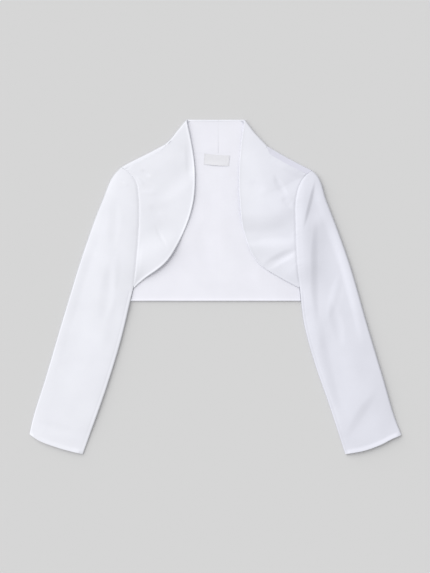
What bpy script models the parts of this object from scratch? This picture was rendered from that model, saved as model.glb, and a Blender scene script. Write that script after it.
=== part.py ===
"""A satin bolero jacket laid flat on its back, front upwards.

The cloth is a set of walls about one millimetre thick. Each piece is the one a maker would cut: the back,
its lining, two fronts with the collar grown on, two collar facings, two sleeves and a blank neck label. Left
and right are as seen from above with the collar at the top. Plan lines are in millimetres from the middle of
the hem, x to the right and y towards the collar, and heights are above the surface the jacket lies on.
"""

from collections import namedtuple
from math import cos, pi, radians, sin

import bpy
import numpy as np

MILLIMETRE = 0.001
ORIGIN = np.array([-1.4, 26.8])  # middle of the whole outline, which becomes x = 0, y = 0

# Cloth and seams
WALL = 1.0            # thickness of one cloth wall
SEAM = 0.3            # gap between neighbouring pieces
FOLD_RADIUS = 3.1     # outer radius where the cloth turns over, so two lying layers are 6.2 high
FOLD_ANGLES = [60, 30, 0, -30, -60]  # degrees round a turned edge, from its flat top to its underside
LINING_BASE = WALL + SEAM
LINING_TOP = LINING_BASE + WALL
LAID_HEIGHT = LINING_TOP + SEAM + WALL   # top of a front where it lies on the lining

# Turned edges: a narrow roll of folded cloth along the front edge, the collar's top and the hem, as
# distances in from the edge and shares of its height
ROLL_PROFILE = [(0.0, 0.0), (0.9, 0.75), (2.3, 1.0), (3.6, 0.8), (4.8, 0.0)]
FRONT_ROLL = 0.9      # how far the roll stands out of the front
COLLAR_ROLL = 2.4     # how far the collar's top roll stands up inside, past the facing
COLLAR_ROLL_START = 0.25   # share of the way to the centre back over which that roll grows
UNDER_FOLD_ROLL = 0.6      # share of the front's roll that is left on the collar fold's underside
HEM_ROLL = 2.4
ROLL_LIMIT = 0.7      # share of a narrow row's width that its turned edge may take

# Heights of the top layer
SHOULDER_SEAM_IN = 7.5     # how far the back turns over the shoulder onto the top side
SHOULDER_SEAM_HEIGHT = 6.4
ARMHOLE_HEIGHT = 7.2
UNDERARM_HEIGHT = 5.2
UNDERARM_CLOSE = 5.0       # the armhole closes over this last length
ARMHOLE_RISE = 60.0        # length of armhole over which its seam climbs from the shoulder
ARMHOLE_FALL = 45.0        # length of armhole over which it drops to the underarm
SLEEVE_HEIGHT = 10.0       # crown of a sleeve, over a hollow of 8
CROWN_WIDTH = 70.0         # sleeve width from which the crown has its full height
SEAM_CALM = 16.0           # folds fade out over this distance to a fold or seam
ARMHOLE_CALM = 20.0        # but lie this much nearer to the armhole seam
CAP_ON_OUTER_FOLD = 210.0  # the outer fold's length beside the armhole

# Sleeve hem
CUFF_BAND = 15.0           # depth of the turned sleeve hem
CUFF_GROOVE = 0.7          # dip where that hem is sewn
CUFF_GROOVE_WIDTH = 5.0
CUFF_BOW_REACH = 120.0     # length of sleeve over which its rows take up the cuff's curve
CUFF_ROWS = [0.3, 0.7, 1.0, 1.4]   # rows of the mesh near the cuff, in hem depths from its end

# Seams inside the neck
CENTRE_BACK = 5.0
FAN_START = 82.0      # distance down the front edge where the rows begin to spread from the neck point
FOLD_RISE = 30.0      # width over which a front rises to its collar's fold
COLLAR_TOP = 340.0
LINING_INSET = 2.0    # from the armhole and side seams, and from the inside of a turned edge
NECK_SEAM = [(-60.0, 281.0), (0.0, 276.5), (60.0, 280.5)]  # between the two collar folds

# Neck label
LABEL_WIDTH = 48.0
LABEL_DEPTH = 20.0
LABEL_CENTRE = (2.0, 264.6)
LABEL_TURN = -4.5          # degrees
LABEL_BOW = 0.5

# Mesh steps
ARMHOLE_ROWS = 13
SHOULDER_ROWS = 6          # shared by the fronts and the back, which meet there
FAN_ROWS = 6               # rows that spread from a neck point to the upper front edge
COLLAR_ROWS = 5
TUBE_ROWS = 15
SLEEVE_TOP_COLUMNS = 10
SLEEVE_UNDER_COLUMNS = 4
FRONT_COLUMNS = 9
LINING_SHOULDER_ROWS = 3
FACING_ROWS = 4
LABEL_COLUMNS = 8
LABEL_ROWS = 4
SHARP_EDGE = radians(50)
NEAR_END = 2.0        # distance from a line's end at which its direction is read

Stations = namedtuple("Stations", "collar_fold shoulder armhole front_edge outer_fold inner_fold cuff")

# Outline of each side, every line from the collar or shoulder downwards, as (x, y) stations
LEFT = Stations(
    collar_fold=[(-54.5, 340.0), (-71.0, 320.0), (-85.5, 302.0), (-95.0, 293.5)],
    shoulder=[(-95.0, 293.5), (-127.0, 276.5), (-160.0, 260.0), (-177.0, 250.5)],
    armhole=[(-177.0, 250.5), (-163.0, 242.0), (-150.0, 226.0), (-144.5, 197.0), (-144.0, 141.0),
             (-149.5, 66.0), (-154.0, 24.0)],
    front_edge=[(-54.5, 340.0), (-44.5, 294.0), (-38.0, 234.0), (-41.0, 188.0), (-67.0, 113.0),
                (-90.5, 75.0), (-137.5, 38.0), (-153.0, 24.5)],
    outer_fold=[(-177.0, 250.5), (-188.5, 238.5), (-212.0, 188.0), (-242.5, 106.0), (-281.5, -19.0),
                (-320.0, -149.0), (-343.0, -224.0), (-348.5, -249.0)],
    inner_fold=[(-154.0, 24.0), (-159.5, 0.5), (-177.5, -74.0), (-200.0, -149.0), (-248.5, -286.5)],
    cuff=[(-348.5, -249.0), (-331.5, -260.5), (-306.5, -270.5), (-281.0, -278.5), (-248.5, -286.5)],
)
RIGHT = Stations(
    collar_fold=[(54.5, 340.0), (71.5, 317.5), (97.0, 290.0)],
    shoulder=[(97.0, 290.0), (128.5, 271.5), (160.5, 254.5), (180.0, 244.5)],
    armhole=[(180.0, 244.5), (165.5, 232.0), (157.0, 217.5), (150.0, 190.0), (149.5, 141.0),
             (153.5, 60.0), (157.5, 24.0)],
    front_edge=[(54.5, 340.0), (48.0, 298.0), (44.0, 230.0), (46.0, 178.0), (52.0, 133.0), (80.0, 71.5),
                (121.0, 43.5), (156.5, 24.5)],
    outer_fold=[(180.0, 244.5), (187.5, 238.0), (207.5, 188.0), (248.0, 78.0), (284.5, -47.0),
                (314.5, -147.0), (337.5, -224.0), (348.0, -250.5)],
    inner_fold=[(157.5, 24.0), (164.5, -37.0), (184.0, -111.5), (210.0, -186.5), (243.0, -286.5)],
    cuff=[(348.0, -250.5), (332.0, -257.0), (310.5, -268.0), (281.0, -279.0), (243.0, -286.5)],
)

Fold = namedtuple("Fold", "x0 y0 x1 y1 half_width lift")

# Largest folds of the top layer; a negative lift is a trough
LEFT_FOLDS = [
    Fold(-62, 122, -118, 50, 34, 5.4),      # front edge that stands off the lining
    Fold(-47, 281, -131, 197, 24, -1.2),    # diagonal valley below the collar
    Fold(-112, 150, -94, 104, 12, -0.8),
    Fold(-197, 83, -205, -20, 12, 1.4),     # soft ridge beside the underarm
    Fold(-206, 90, -214, -10, 22, -1.2),
    Fold(-250, -60, -285, -190, 26, 0.8),
    Fold(-330, -226, -236, -250, 12, -1.0),  # hollow just above the cuff
]
RIGHT_FOLDS = [
    Fold(48, 134, 142, 134, 20, -2.0),      # wide trough across the front
    Fold(62, 103, 150, 104, 13, 1.6),
    Fold(150, 93, 86, 60, 10, -1.8),
    Fold(119, 216, 133, 178, 10, -0.9),
    Fold(190, 221, 168, 146, 11, -2.2),     # dent at the head of the sleeve
    Fold(190, 154, 194, -46, 15, -2.6),     # long trough down the sleeve
    Fold(207, -60, 243, -224, 16, -1.2),
    Fold(228, 40, 206, -28, 12, 1.0),
    Fold(296, -180, 252, -258, 14, -1.2),
]

Finish = namedtuple("Finish", "colour roughness")
SATIN = Finish((0.83, 0.84, 0.89), 0.38)
LINING_CLOTH = Finish((0.81, 0.81, 0.87), 0.45)
LABEL_CLOTH = Finish((0.74, 0.73, 0.78), 0.6)


class Line:
    """A smooth plan line through its stations, read by distance along it."""

    def __init__(self, stations, steps=40):
        points = np.array(stations, float)
        knots = np.concatenate([[0.0], np.cumsum(np.linalg.norm(np.diff(points, axis=0), axis=1))])
        slopes = np.gradient(points, knots, axis=0)
        pieces = []
        for i in range(len(points) - 1):
            span = knots[i + 1] - knots[i]
            u = np.linspace(0.0, 1.0, steps, endpoint=i == len(points) - 2)[:, None]
            pieces.append(points[i] * (1 + 2 * u) * (1 - u) ** 2 + points[i + 1] * u * u * (3 - 2 * u)
                          + span * (slopes[i] * u * (1 - u) ** 2 + slopes[i + 1] * u * u * (u - 1)))
        self.points = np.concatenate(pieces)
        self.run = np.concatenate([[0.0], np.cumsum(np.linalg.norm(np.diff(self.points, axis=0), axis=1))])
        self.length = self.run[-1]

    def at(self, distance):
        return np.stack([np.interp(distance, self.run, self.points[:, k]) for k in (0, 1)], axis=-1)

    def direction(self, distance):
        step = self.at(distance + 1.0) - self.at(distance - 1.0)
        return step / np.linalg.norm(step)


def ease(value):
    """Smooth step from 0 to 1."""
    value = np.clip(value, 0.0, 1.0)
    return value * value * (3 - 2 * value)


def mix(first, second, share):
    return first + (second - first) * share


def fold_lift(plan, folds):
    """Sum of soft folds: each a cosine hump across its line, fading over the line's ends."""
    lift = np.zeros(plan.shape[:-1])
    for fold in folds:
        start = np.array([fold.x0, fold.y0], float)
        along = np.array([fold.x1, fold.y1], float) - start
        length = np.linalg.norm(along)
        along /= length
        reach = plan - start
        run = reach @ along
        across = np.abs(reach @ np.array([-along[1], along[0]]))
        past = np.maximum(np.maximum(-run, run - length), 0.0)
        distance = np.hypot(across, past) / fold.half_width
        lift += fold.lift * 0.5 * (1 + np.cos(pi * np.minimum(distance, 1.0)))
    return lift


def roll_height(distance):
    """Share of a turned edge's height at a distance in from the edge."""
    return np.interp(distance, [step for step, _ in ROLL_PROFILE], [share for _, share in ROLL_PROFILE])


class Side:
    """The plan lines that the pieces of one side share."""

    def __init__(self, stations, folds, outward):
        self.outward = outward
        self.folds = folds
        self.collar_fold = Line(stations.collar_fold)
        self.shoulder = Line(stations.shoulder)
        self.armhole = Line(stations.armhole)
        self.front_edge = Line(stations.front_edge)
        self.outer_fold = Line(stations.outer_fold)
        self.inner_fold = Line(stations.inner_fold)
        self.cuff = Line(stations.cuff)
        self.neck_in = self.inward_at_neck()

    def inward_at_neck(self):
        """Unit step into the jacket at the neck point, midway between the collar's and shoulder's own."""
        collar = self.collar_fold.direction(self.collar_fold.length - NEAR_END)
        shoulder = self.shoulder.direction(NEAR_END)
        middle = (collar + shoulder) / np.linalg.norm(collar + shoulder)
        return np.array([middle[1], -middle[0]]) * self.outward

    def shoulder_point(self, share, inset):
        """Plan point at an inset from the shoulder's outline, share 0 at the neck and 1 at the sleeve."""
        step = mix(self.neck_in, self.armhole.direction(NEAR_END), share)
        return self.shoulder.at(share * self.shoulder.length) + inset * step / np.linalg.norm(step)

    def collar_point(self, share, inset, underside):
        """Plan point by the collar's fold, share 0 at the neck and 1 at the top; underside runs 0 to 1."""
        top_step = self.front_edge.direction(NEAR_END)
        under_step = np.array([-self.outward, 0.0])
        fold = self.collar_fold.direction(NEAR_END)
        normal = np.array([fold[1], -fold[0]]) * self.outward
        end_step = mix(top_step / (top_step @ normal), under_step / (under_step @ normal), underside)
        neck_step = self.neck_in / (self.neck_in @ normal)
        place = self.collar_fold.at((1 - share) * self.collar_fold.length)
        return place + inset * mix(neck_step, end_step, share)

    def armhole_height(self, distance):
        """Height of the armhole seam on top, by distance from the shoulder."""
        rise = ease((distance - SHOULDER_SEAM_IN) / ARMHOLE_RISE)
        fall = ease((distance - self.armhole.length + ARMHOLE_FALL) / ARMHOLE_FALL)
        return mix(mix(SHOULDER_SEAM_HEIGHT, ARMHOLE_HEIGHT, rise), UNDERARM_HEIGHT, fall)

    def body_step(self, line, distance):
        """Unit step from one of the side's plan lines towards the body."""
        way = line.direction(distance)
        return np.array([way[1], -way[0]]) * self.outward

    def armhole_point(self, distance, inset):
        """Plan point beside the armhole, on the body's side of it."""
        return self.armhole.at(distance) + inset * self.body_step(self.armhole, distance)

    def armhole_steps(self):
        """Distances down the armhole, shared by the pieces that meet there."""
        return np.linspace(SHOULDER_SEAM_IN, self.armhole.length - UNDERARM_CLOSE, ARMHOLE_ROWS)


def grid_faces(numbers, flip):
    """Quads between the rows of a table of point numbers; -1 marks a point that isn't there."""
    faces = []
    for upper, lower in zip(numbers[:-1], numbers[1:]):
        for k in range(len(upper) - 1):
            quad = [upper[k], upper[k + 1], lower[k + 1], lower[k]]
            if min(quad) >= 0:
                faces.append(quad[::-1] if flip else quad)
    return faces


def keep_used(points, faces):
    """The points that the faces use, the faces with their new numbers, and which points were kept."""
    used = np.unique(np.array(faces))
    renumber = np.full(len(points), -1)
    renumber[used] = np.arange(len(used))
    return points[used], renumber[np.array(faces)].tolist(), used


def cloth_wall(name, points, faces, thickness, finish):
    """A closed wall: the outer surface, the same points moved inwards, and a rim along each open edge."""
    points = np.asarray(points, float)
    corners = np.asarray(faces, int)
    across = points[corners[:, 2]] - points[corners[:, 0]]
    down = points[corners[:, 3]] - points[corners[:, 1]]
    face_normals = np.cross(across, down)
    normals = np.zeros_like(points)
    for k in range(4):
        np.add.at(normals, corners[:, k], face_normals)
    normals /= np.linalg.norm(normals, axis=1)[:, None]
    inner = points - normals * np.broadcast_to(thickness, len(points))[:, None]
    count = len(points)
    rings = [tuple(dict.fromkeys(face)) for face in faces]
    edges = {(ring[k - 1], ring[k]) for ring in rings for k in range(len(ring))}
    rims = [(b, a, a + count, b + count) for a, b in sorted(edges) if (b, a) not in edges]
    backs = [tuple(corner + count for corner in reversed(ring)) for ring in rings]
    vertices = np.concatenate([points, inner])
    vertices[:, :2] -= ORIGIN
    mesh = bpy.data.meshes.new(name)
    mesh.from_pydata((vertices * MILLIMETRE).tolist(), [], rings + backs + rims)
    mesh.validate()
    mesh.shade_smooth()
    mesh.set_sharp_from_angle(angle=SHARP_EDGE)
    mesh.materials.append(cloth_material(name, finish))
    piece = bpy.data.objects.new(name, mesh)
    bpy.context.scene.collection.objects.link(piece)
    return piece


def cloth_material(name, finish):
    material = bpy.data.materials.new(name + "_cloth")
    material.use_nodes = True
    shader = material.node_tree.nodes["Principled BSDF"]
    shader.inputs["Base Color"].default_value = (*finish.colour, 1.0)
    shader.inputs["Roughness"].default_value = finish.roughness
    shader.inputs["Metallic"].default_value = 0.0
    return material


def lift_points(plan, heights):
    return np.concatenate([plan, heights[..., None]], axis=-1)


def front_columns(width):
    """Distances in from the front edge: the turned edge's own steps, then even steps to the far side."""
    squeeze = min(1.0, ROLL_LIMIT * width / ROLL_PROFILE[-1][0])
    turned = [step * squeeze for step, _ in ROLL_PROFILE]
    rest = np.linspace(turned[-1], width, FRONT_COLUMNS + 1)[1:]
    return np.concatenate([turned, rest]), squeeze


def front_top_rows(side):
    """Far-side and edge points of a front's rows, from the underarm up to the collar's fold. The last rows
    all start at the neck point and spread towards the top of the front edge."""
    up_armhole = side.armhole_steps()[::-1]
    far = [side.armhole_point(distance, SEAM) for distance in up_armhole]
    far[-1] = side.armhole_point(SHOULDER_SEAM_IN + SEAM, SEAM)
    heights = [side.armhole_height(distance) for distance in up_armhole]
    for share in np.linspace(1.0, 0.0, SHOULDER_ROWS + 1)[1:]:
        far.append(side.shoulder_point(share, SHOULDER_SEAM_IN + SEAM))
        heights.append(SHOULDER_SEAM_HEIGHT)
    runs = np.concatenate([[0.0], np.cumsum(np.linalg.norm(np.diff(far, axis=0), axis=1))])
    edge_runs = mix(side.front_edge.length, FAN_START, runs / runs[-1])
    top = np.linalg.norm(side.collar_point(1.0, SHOULDER_SEAM_IN, 0.0) - side.front_edge.at(0.0))
    fan = np.linspace(FAN_START, top, FAN_ROWS + 1)[1:]
    edge = side.front_edge.at(np.concatenate([edge_runs, fan]))
    return np.array(far + [far[-1]] * FAN_ROWS), np.array(heights + [heights[-1]] * FAN_ROWS), edge


def from_collar_fold(side, plan):
    """Distance of plan points from the straight collar fold."""
    start, end = side.collar_fold.points[0], side.collar_fold.points[-1]
    along = end - start
    share = np.clip((plan - start) @ along / (along @ along), 0.0, 1.0)
    return np.linalg.norm(plan - start - share[..., None] * along, axis=-1)


def front_top_height(side, plan, far_height, share_across):
    """Top of a front: from its seams down to the lining, up again to the collar's fold, with its folds."""
    laid = mix(far_height, LAID_HEIGHT + SEAM, ease(share_across))
    near_fold = ease(1 - (from_collar_fold(side, plan) - FOLD_RADIUS) / FOLD_RISE)
    folds = (1 - near_fold) * fold_lift(plan, side.folds)
    return np.maximum(mix(laid, 2 * FOLD_RADIUS, near_fold) + folds, LAID_HEIGHT)


def make_front(name, side, neck):
    """One front with the collar grown on: rows run across it, up from the underarm, over the collar's fold
    and along the back of the neck to the centre-back seam."""
    plan_rows, height_rows, thick_rows = [], [], []
    for far_point, far_height, edge_point in zip(*front_top_rows(side)):
        width = np.linalg.norm(far_point - edge_point)
        steps, squeeze = front_columns(width)
        plan = mix(edge_point, far_point, (steps / width)[:, None])
        turned = FRONT_ROLL * roll_height(steps / squeeze)
        heights = front_top_height(side, plan, far_height, 1 - steps / width) + turned
        plan_rows.append(plan)
        height_rows.append(heights)
        thick_rows.append(WALL + turned)
    fold_width = side.collar_fold.length
    steps, squeeze = front_columns(fold_width)
    turned = FRONT_ROLL * roll_height(steps / squeeze)
    for angle in [90] + FOLD_ANGLES + [-90]:
        underside = (1 - sin(radians(angle))) / 2
        inset = FOLD_RADIUS * (1 - cos(radians(angle)))
        plan_rows.append(np.array([side.collar_point(1 - step / fold_width, inset, underside)
                                   for step in steps]))
        height_rows.append(np.full(len(steps), FOLD_RADIUS * (1 + sin(radians(angle)))))
        thick_rows.append(WALL + mix(turned, UNDER_FOLD_ROLL * turned, underside))
    top_start = side.collar_point(1.0, FOLD_RADIUS, 1.0)
    centre = CENTRE_BACK + side.outward * SEAM / 2
    for share, low in zip(collar_shares(), neck_points(side, neck)[1:]):
        top = np.array([mix(top_start[0], centre, share), COLLAR_TOP])
        width = np.linalg.norm(top - low)
        steps, squeeze = front_columns(width)
        plan_rows.append(mix(top, low, (steps / width)[:, None]))
        height_rows.append(np.zeros(len(steps)))
        height = mix(UNDER_FOLD_ROLL * FRONT_ROLL, COLLAR_ROLL, ease(share / COLLAR_ROLL_START))
        thick_rows.append(WALL + height * roll_height(steps / squeeze))
    plan = np.array(plan_rows)
    points = lift_points(plan, np.array(height_rows)).reshape(-1, 3)
    numbers = np.arange(len(points)).reshape(plan.shape[:2])
    neck_row = ARMHOLE_ROWS + SHOULDER_ROWS - 1
    numbers[neck_row:neck_row + FAN_ROWS + 1, -1] = numbers[neck_row, -1]
    points, faces, used = keep_used(points, grid_faces(numbers.tolist(), side.outward < 0))
    return cloth_wall(name, points, faces, np.array(thick_rows).ravel()[used], SATIN)


def collar_shares():
    """Shares of the way from the collar's fold to the centre-back seam, after the fold itself."""
    return np.linspace(0.0, 1.0, COLLAR_ROWS + 1)[1:]


def neck_points(side, neck):
    """Points just above the neck seam, from the collar's fold to the centre-back seam."""
    start = side.collar_point(0.0, FOLD_RADIUS, 1.0)
    centre = CENTRE_BACK + side.outward * SEAM / 2
    points = [start]
    for share in collar_shares():
        x = mix(start[0], centre, share)
        points.append(np.array([x, np.interp(x, neck.points[:, 0], neck.points[:, 1]) + SEAM]))
    return np.array(points)


def sleeve_rows(side):
    """Inner and outer ends of a sleeve's rows, how open each is at the armhole, and its inner height."""
    arm = side.armhole_steps()
    cap_share = (arm - SHOULDER_SEAM_IN) / (side.armhole.length - SHOULDER_SEAM_IN)
    inner = [side.armhole.at(distance) for distance in arm]
    outer = [side.outer_fold.at(share * CAP_ON_OUTER_FOLD) for share in cap_share]
    heights = [side.armhole_height(distance) for distance in arm]
    opened = [1.0] * len(arm)
    tube = side.inner_fold.length
    near_cuff = [tube - depth * CUFF_BAND for depth in CUFF_ROWS[::-1]]
    for distance in [*np.linspace(0.0, near_cuff[0], TUBE_ROWS), *near_cuff[1:], tube]:
        share = distance / tube
        inner.append(side.inner_fold.at(distance))
        outer.append(side.outer_fold.at(mix(CAP_ON_OUTER_FOLD, side.outer_fold.length, share)))
        heights.append(2 * FOLD_RADIUS)
        opened.append(0.0)
    return np.array(inner), np.array(outer), np.array(heights), np.array(opened)


def sleeve_section():
    """A flattened tube's section, from the inner fold over the top, round the outer fold and back beneath.
    Each point lies at its start plus its share of the sleeve's width across, and at its height. The count
    is that of the points on the top, and the last points mirror the first ones beneath the inner fold."""
    inner = np.radians([0] + FOLD_ANGLES[:2][::-1] + [90])
    outer = np.radians([90] + FOLD_ANGLES + [-90])
    over = np.arange(1, SLEEVE_TOP_COLUMNS + 1) / (SLEEVE_TOP_COLUMNS + 1)
    under = np.arange(SLEEVE_UNDER_COLUMNS, 0, -1) / (SLEEVE_UNDER_COLUMNS + 1)
    arc_in = 1 - np.cos(inner)
    start = FOLD_RADIUS * np.concatenate([arc_in, 1 - 2 * over, np.cos(outer) - 1, 1 - 2 * under,
                                          arc_in[::-1]])
    share = np.concatenate([0 * inner, over, np.ones(len(outer)), under, 0 * inner])
    height = FOLD_RADIUS * np.concatenate([1 + np.sin(inner), 2 + 0 * over, 1 + np.sin(outer), 0 * under,
                                           1 - np.sin(inner[::-1])])
    return start, share, height, len(inner) + len(over) + 1, len(inner)


def make_sleeve(name, side):
    """A sleeve as a flattened tube: each row runs across the top, round the outer fold and back beneath.
    Beside the armhole a row is open, and from the underarm down its two ends are one point on the inner
    fold. The cuff's own curve bends the last rows."""
    inner, outer, inner_heights, opened = sleeve_rows(side)
    start, share_across, heights_round, top_count, arc_count = sleeve_section()
    width = np.linalg.norm(outer - inner, axis=1)[:, None]
    to_cuff = np.linalg.norm(outer[-1] - outer, axis=1)[:, None]
    distance = start + share_across * width
    share = np.clip(distance / width, 0.0, 1.0)
    plan = inner[:, None] + distance[..., None] * ((outer - inner) / width)[:, None]
    plan += cuff_bow(side, share) * ease(1 - to_cuff / CUFF_BOW_REACH)[..., None]

    top = slice(0, top_count)
    edge = mix(2 * FOLD_RADIUS, inner_heights[:, None], 1 - share[:, top])
    bulge = 1 - np.abs(2 * share[:, top] - 1) ** 3
    crown = (SLEEVE_HEIGHT - 2 * FOLD_RADIUS) * bulge * ease(width / CROWN_WIDTH)
    groove = CUFF_GROOVE * np.exp(-((to_cuff - CUFF_BAND) / CUFF_GROOVE_WIDTH) ** 2)
    to_seam = np.minimum(distance[:, top] + ARMHOLE_CALM * opened[:, None], width - distance[:, top])
    full = edge + crown + ease(to_seam / SEAM_CALM) * (fold_lift(plan[:, top], side.folds) - groove)
    round_fold = np.ones((len(inner), top_count))
    closed = opened == 0.0
    round_fold[closed, :arc_count] = heights_round[:arc_count] / FOLD_RADIUS - 1
    heights = np.tile(heights_round, (len(inner), 1))
    heights[:, top] = mix(heights[:, top], full, round_fold)
    heights[~closed, -arc_count:] = 0.0

    points = lift_points(plan, heights)
    numbers = np.arange(heights.size).reshape(heights.shape)
    numbers[closed, -1] = numbers[closed, 0]
    points, faces, _ = keep_used(points.reshape(-1, 3), grid_faces(numbers.tolist(), side.outward > 0))
    return cloth_wall(name, points, faces, WALL, SATIN)


def cuff_bow(side, share):
    """How far the cuff's curve lies from the straight line between its two ends."""
    inner_end = side.cuff.at(side.cuff.length)
    outer_end = side.cuff.at(0.0)
    straight = mix(inner_end, outer_end, share[..., None])
    return side.cuff.at((1 - share) * side.cuff.length) - straight


def blend_patch(bottom, top, left, right):
    """Points of a patch between four edges, each edge a row of points that meets its neighbours."""
    across = np.linspace(0.0, 1.0, len(bottom))[None, :, None]
    up = np.linspace(0.0, 1.0, len(left))[:, None, None]
    ruled_up = mix(bottom[None], top[None], up)
    ruled_across = mix(left[:, None], right[:, None], across)
    corners = mix(mix(bottom[0], bottom[-1], across), mix(top[0], top[-1], across), up)
    return ruled_up + ruled_across - corners


def shoulder_shares(side, rows):
    """Shares along a shoulder from the sleeve to a seam's gap short of the neck point."""
    shares = np.linspace(1.0, 0.0, rows + 1)
    shares[-1] = SEAM / side.shoulder.length
    return shares


def back_edges(left, right, neck, side_inset, shoulder_inset, bottom, columns):
    """The four edges of a back piece, with its insets from the shared plan lines."""
    def upright(side):
        """Side seam from the bottom to the underarm, then the armhole up to the shoulder."""
        drop = np.interp(-bottom, -side.inner_fold.points[:, 1], side.inner_fold.run)
        points = [side.inner_fold.at(run) + side_inset * side.body_step(side.inner_fold, run + 1.0)
                  for run in (drop, drop / 2, 0.0)]
        points += [side.armhole_point(distance, side_inset) for distance in side.armhole_steps()[::-1]]
        top_step = side.body_step(side.armhole, NEAR_END)
        points.append(side.shoulder_point(1.0, shoulder_inset) + side_inset * top_step)
        points[0][1] = bottom
        return np.array(points)

    left_up, right_up = upright(left), upright(right)
    neck_row = np.concatenate([neck_points(left, neck)[1:], neck_points(right, neck)[-2:0:-1]])
    shares = shoulder_shares(left, columns)
    left_top = np.array([left.shoulder_point(share, shoulder_inset) for share in shares])
    right_top = np.array([right.shoulder_point(share, shoulder_inset) for share in shares[::-1]])
    left_top[0], right_top[-1] = left_up[-1], right_up[-1]
    top = np.concatenate([left_top, neck_row - np.array([0.0, 2 * SEAM]), right_top])
    bottom_row = mix(left_up[0], right_up[0], np.linspace(0.0, 1.0, len(top))[:, None])
    return bottom_row, top, left_up, right_up


def make_back(left, right, neck):
    """The back: flat beneath, a rolled hem along the bottom, and turned over both shoulders to the seams."""
    edges = back_edges(left, right, neck, SEAM, FOLD_RADIUS, 0.0, SHOULDER_ROWS)
    flat = blend_patch(*edges)
    toward = (flat[1] - flat[0]) / np.linalg.norm(flat[1] - flat[0], axis=1)[:, None]
    rows = [flat[0] + step * toward for step, _ in ROLL_PROFILE] + list(flat[1:])
    width = len(flat[0])
    heights = [np.zeros(width)] * len(rows)
    thick = [np.full(width, WALL + HEM_ROLL * share) for _, share in ROLL_PROFILE]
    thick += [np.full(width, WALL)] * (len(rows) - len(ROLL_PROFILE))
    numbers = np.arange(len(rows) * width).reshape(-1, width).tolist()
    shares = shoulder_shares(left, SHOULDER_ROWS)
    turned = len(shares)
    for angle in FOLD_ANGLES[::-1] + [90, None]:
        inset = SHOULDER_SEAM_IN
        height = SHOULDER_SEAM_HEIGHT
        if angle is not None:
            inset = FOLD_RADIUS * (1 - cos(radians(angle)))
            height = FOLD_RADIUS * (1 + sin(radians(angle)))
        row = np.zeros((width, 2))
        row[:turned] = [left.shoulder_point(share, inset) for share in shares]
        row[-turned:] = [right.shoulder_point(share, inset) for share in shares[::-1]]
        row[0] += SEAM * left.body_step(left.armhole, NEAR_END)
        row[-1] += SEAM * right.body_step(right.armhole, NEAR_END)
        rows.append(row)
        heights.append(np.full(width, height))
        thick.append(np.full(width, WALL))
        number = np.arange((len(rows) - 1) * width, len(rows) * width)
        number[turned:-turned] = -1
        numbers.append(number.tolist())
    points = lift_points(np.array(rows), np.array(heights)).reshape(-1, 3)
    points, faces, used = keep_used(points, grid_faces(numbers, True))
    return cloth_wall("back", points, faces, np.array(thick).ravel()[used], SATIN)


def make_lining(left, right, neck):
    """The back's lining, one wall's height above the back, seen between the fronts."""
    hem_end = ROLL_PROFILE[-1][0] + SEAM
    inset = FOLD_RADIUS + WALL + LINING_INSET
    plan = blend_patch(*back_edges(left, right, neck, LINING_INSET, inset, hem_end, LINING_SHOULDER_ROWS))
    points = lift_points(plan, np.full(plan.shape[:2], LINING_TOP)).reshape(-1, 3)
    numbers = np.arange(len(points)).reshape(plan.shape[:2])
    return cloth_wall("back_lining", points, grid_faces(numbers.tolist(), False), WALL, LINING_CLOTH)


def make_facing(name, side, neck):
    """Half of the collar's inner face, from just short of the collar's fold to the centre-back seam."""
    inset = FOLD_RADIUS + WALL + LINING_INSET
    centre = CENTRE_BACK + side.outward * SEAM / 2
    top_y = COLLAR_TOP - ROLL_PROFILE[-1][0] - SEAM
    outer_top = side.collar_point(1.0, inset, 1.0)[0]
    low = neck_points(side, neck)
    low[0] = side.collar_point(0.0, inset, 1.0)
    low[0][1] = max(low[0][1] + 2 * SEAM, low[1][1])
    top = np.array([[mix(outer_top, centre, share), top_y] for share in [0.0, *collar_shares()]])
    plan = mix(top[:, None], low[:, None], np.linspace(0.0, 1.0, FACING_ROWS + 1)[None, :, None])
    points = lift_points(plan, np.full(plan.shape[:2], LINING_TOP)).reshape(-1, 3)
    numbers = np.arange(len(points)).reshape(plan.shape[:2])
    return cloth_wall(name, points, grid_faces(numbers.tolist(), side.outward > 0), WALL, LINING_CLOTH)


def make_label():
    """The blank neck label, sewn along its upper edge and slightly turned, its long edges bowed."""
    across = np.linspace(-0.5, 0.5, LABEL_COLUMNS + 1)[None, :]
    up = np.linspace(-0.5, 0.5, LABEL_ROWS + 1)[:, None]
    x = across * LABEL_WIDTH + 0 * up
    y = up * LABEL_DEPTH - LABEL_BOW * (1 - (2 * across) ** 2)
    turn = radians(LABEL_TURN)
    plan = np.stack([LABEL_CENTRE[0] + x * cos(turn) - y * sin(turn),
                     LABEL_CENTRE[1] + x * sin(turn) + y * cos(turn)], axis=-1)
    points = lift_points(plan, np.full(plan.shape[:2], LINING_TOP + SEAM + WALL)).reshape(-1, 3)
    numbers = np.arange(len(points)).reshape(plan.shape[:2])
    return cloth_wall("neck_label", points, grid_faces(numbers.tolist(), False), WALL, LABEL_CLOTH)


def main():
    for old in list(bpy.data.objects):
        bpy.data.objects.remove(old)
    left = Side(LEFT, LEFT_FOLDS, -1)
    right = Side(RIGHT, RIGHT_FOLDS, 1)
    neck = Line([left.collar_point(0.0, FOLD_RADIUS, 1.0), *NECK_SEAM,
                 right.collar_point(0.0, FOLD_RADIUS, 1.0)])
    make_back(left, right, neck)
    make_lining(left, right, neck)
    for word, side in (("left", left), ("right", right)):
        make_front("front_" + word, side, neck)
        make_facing("collar_facing_" + word, side, neck)
        make_sleeve("sleeve_" + word, side)
    make_label()


main()
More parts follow.
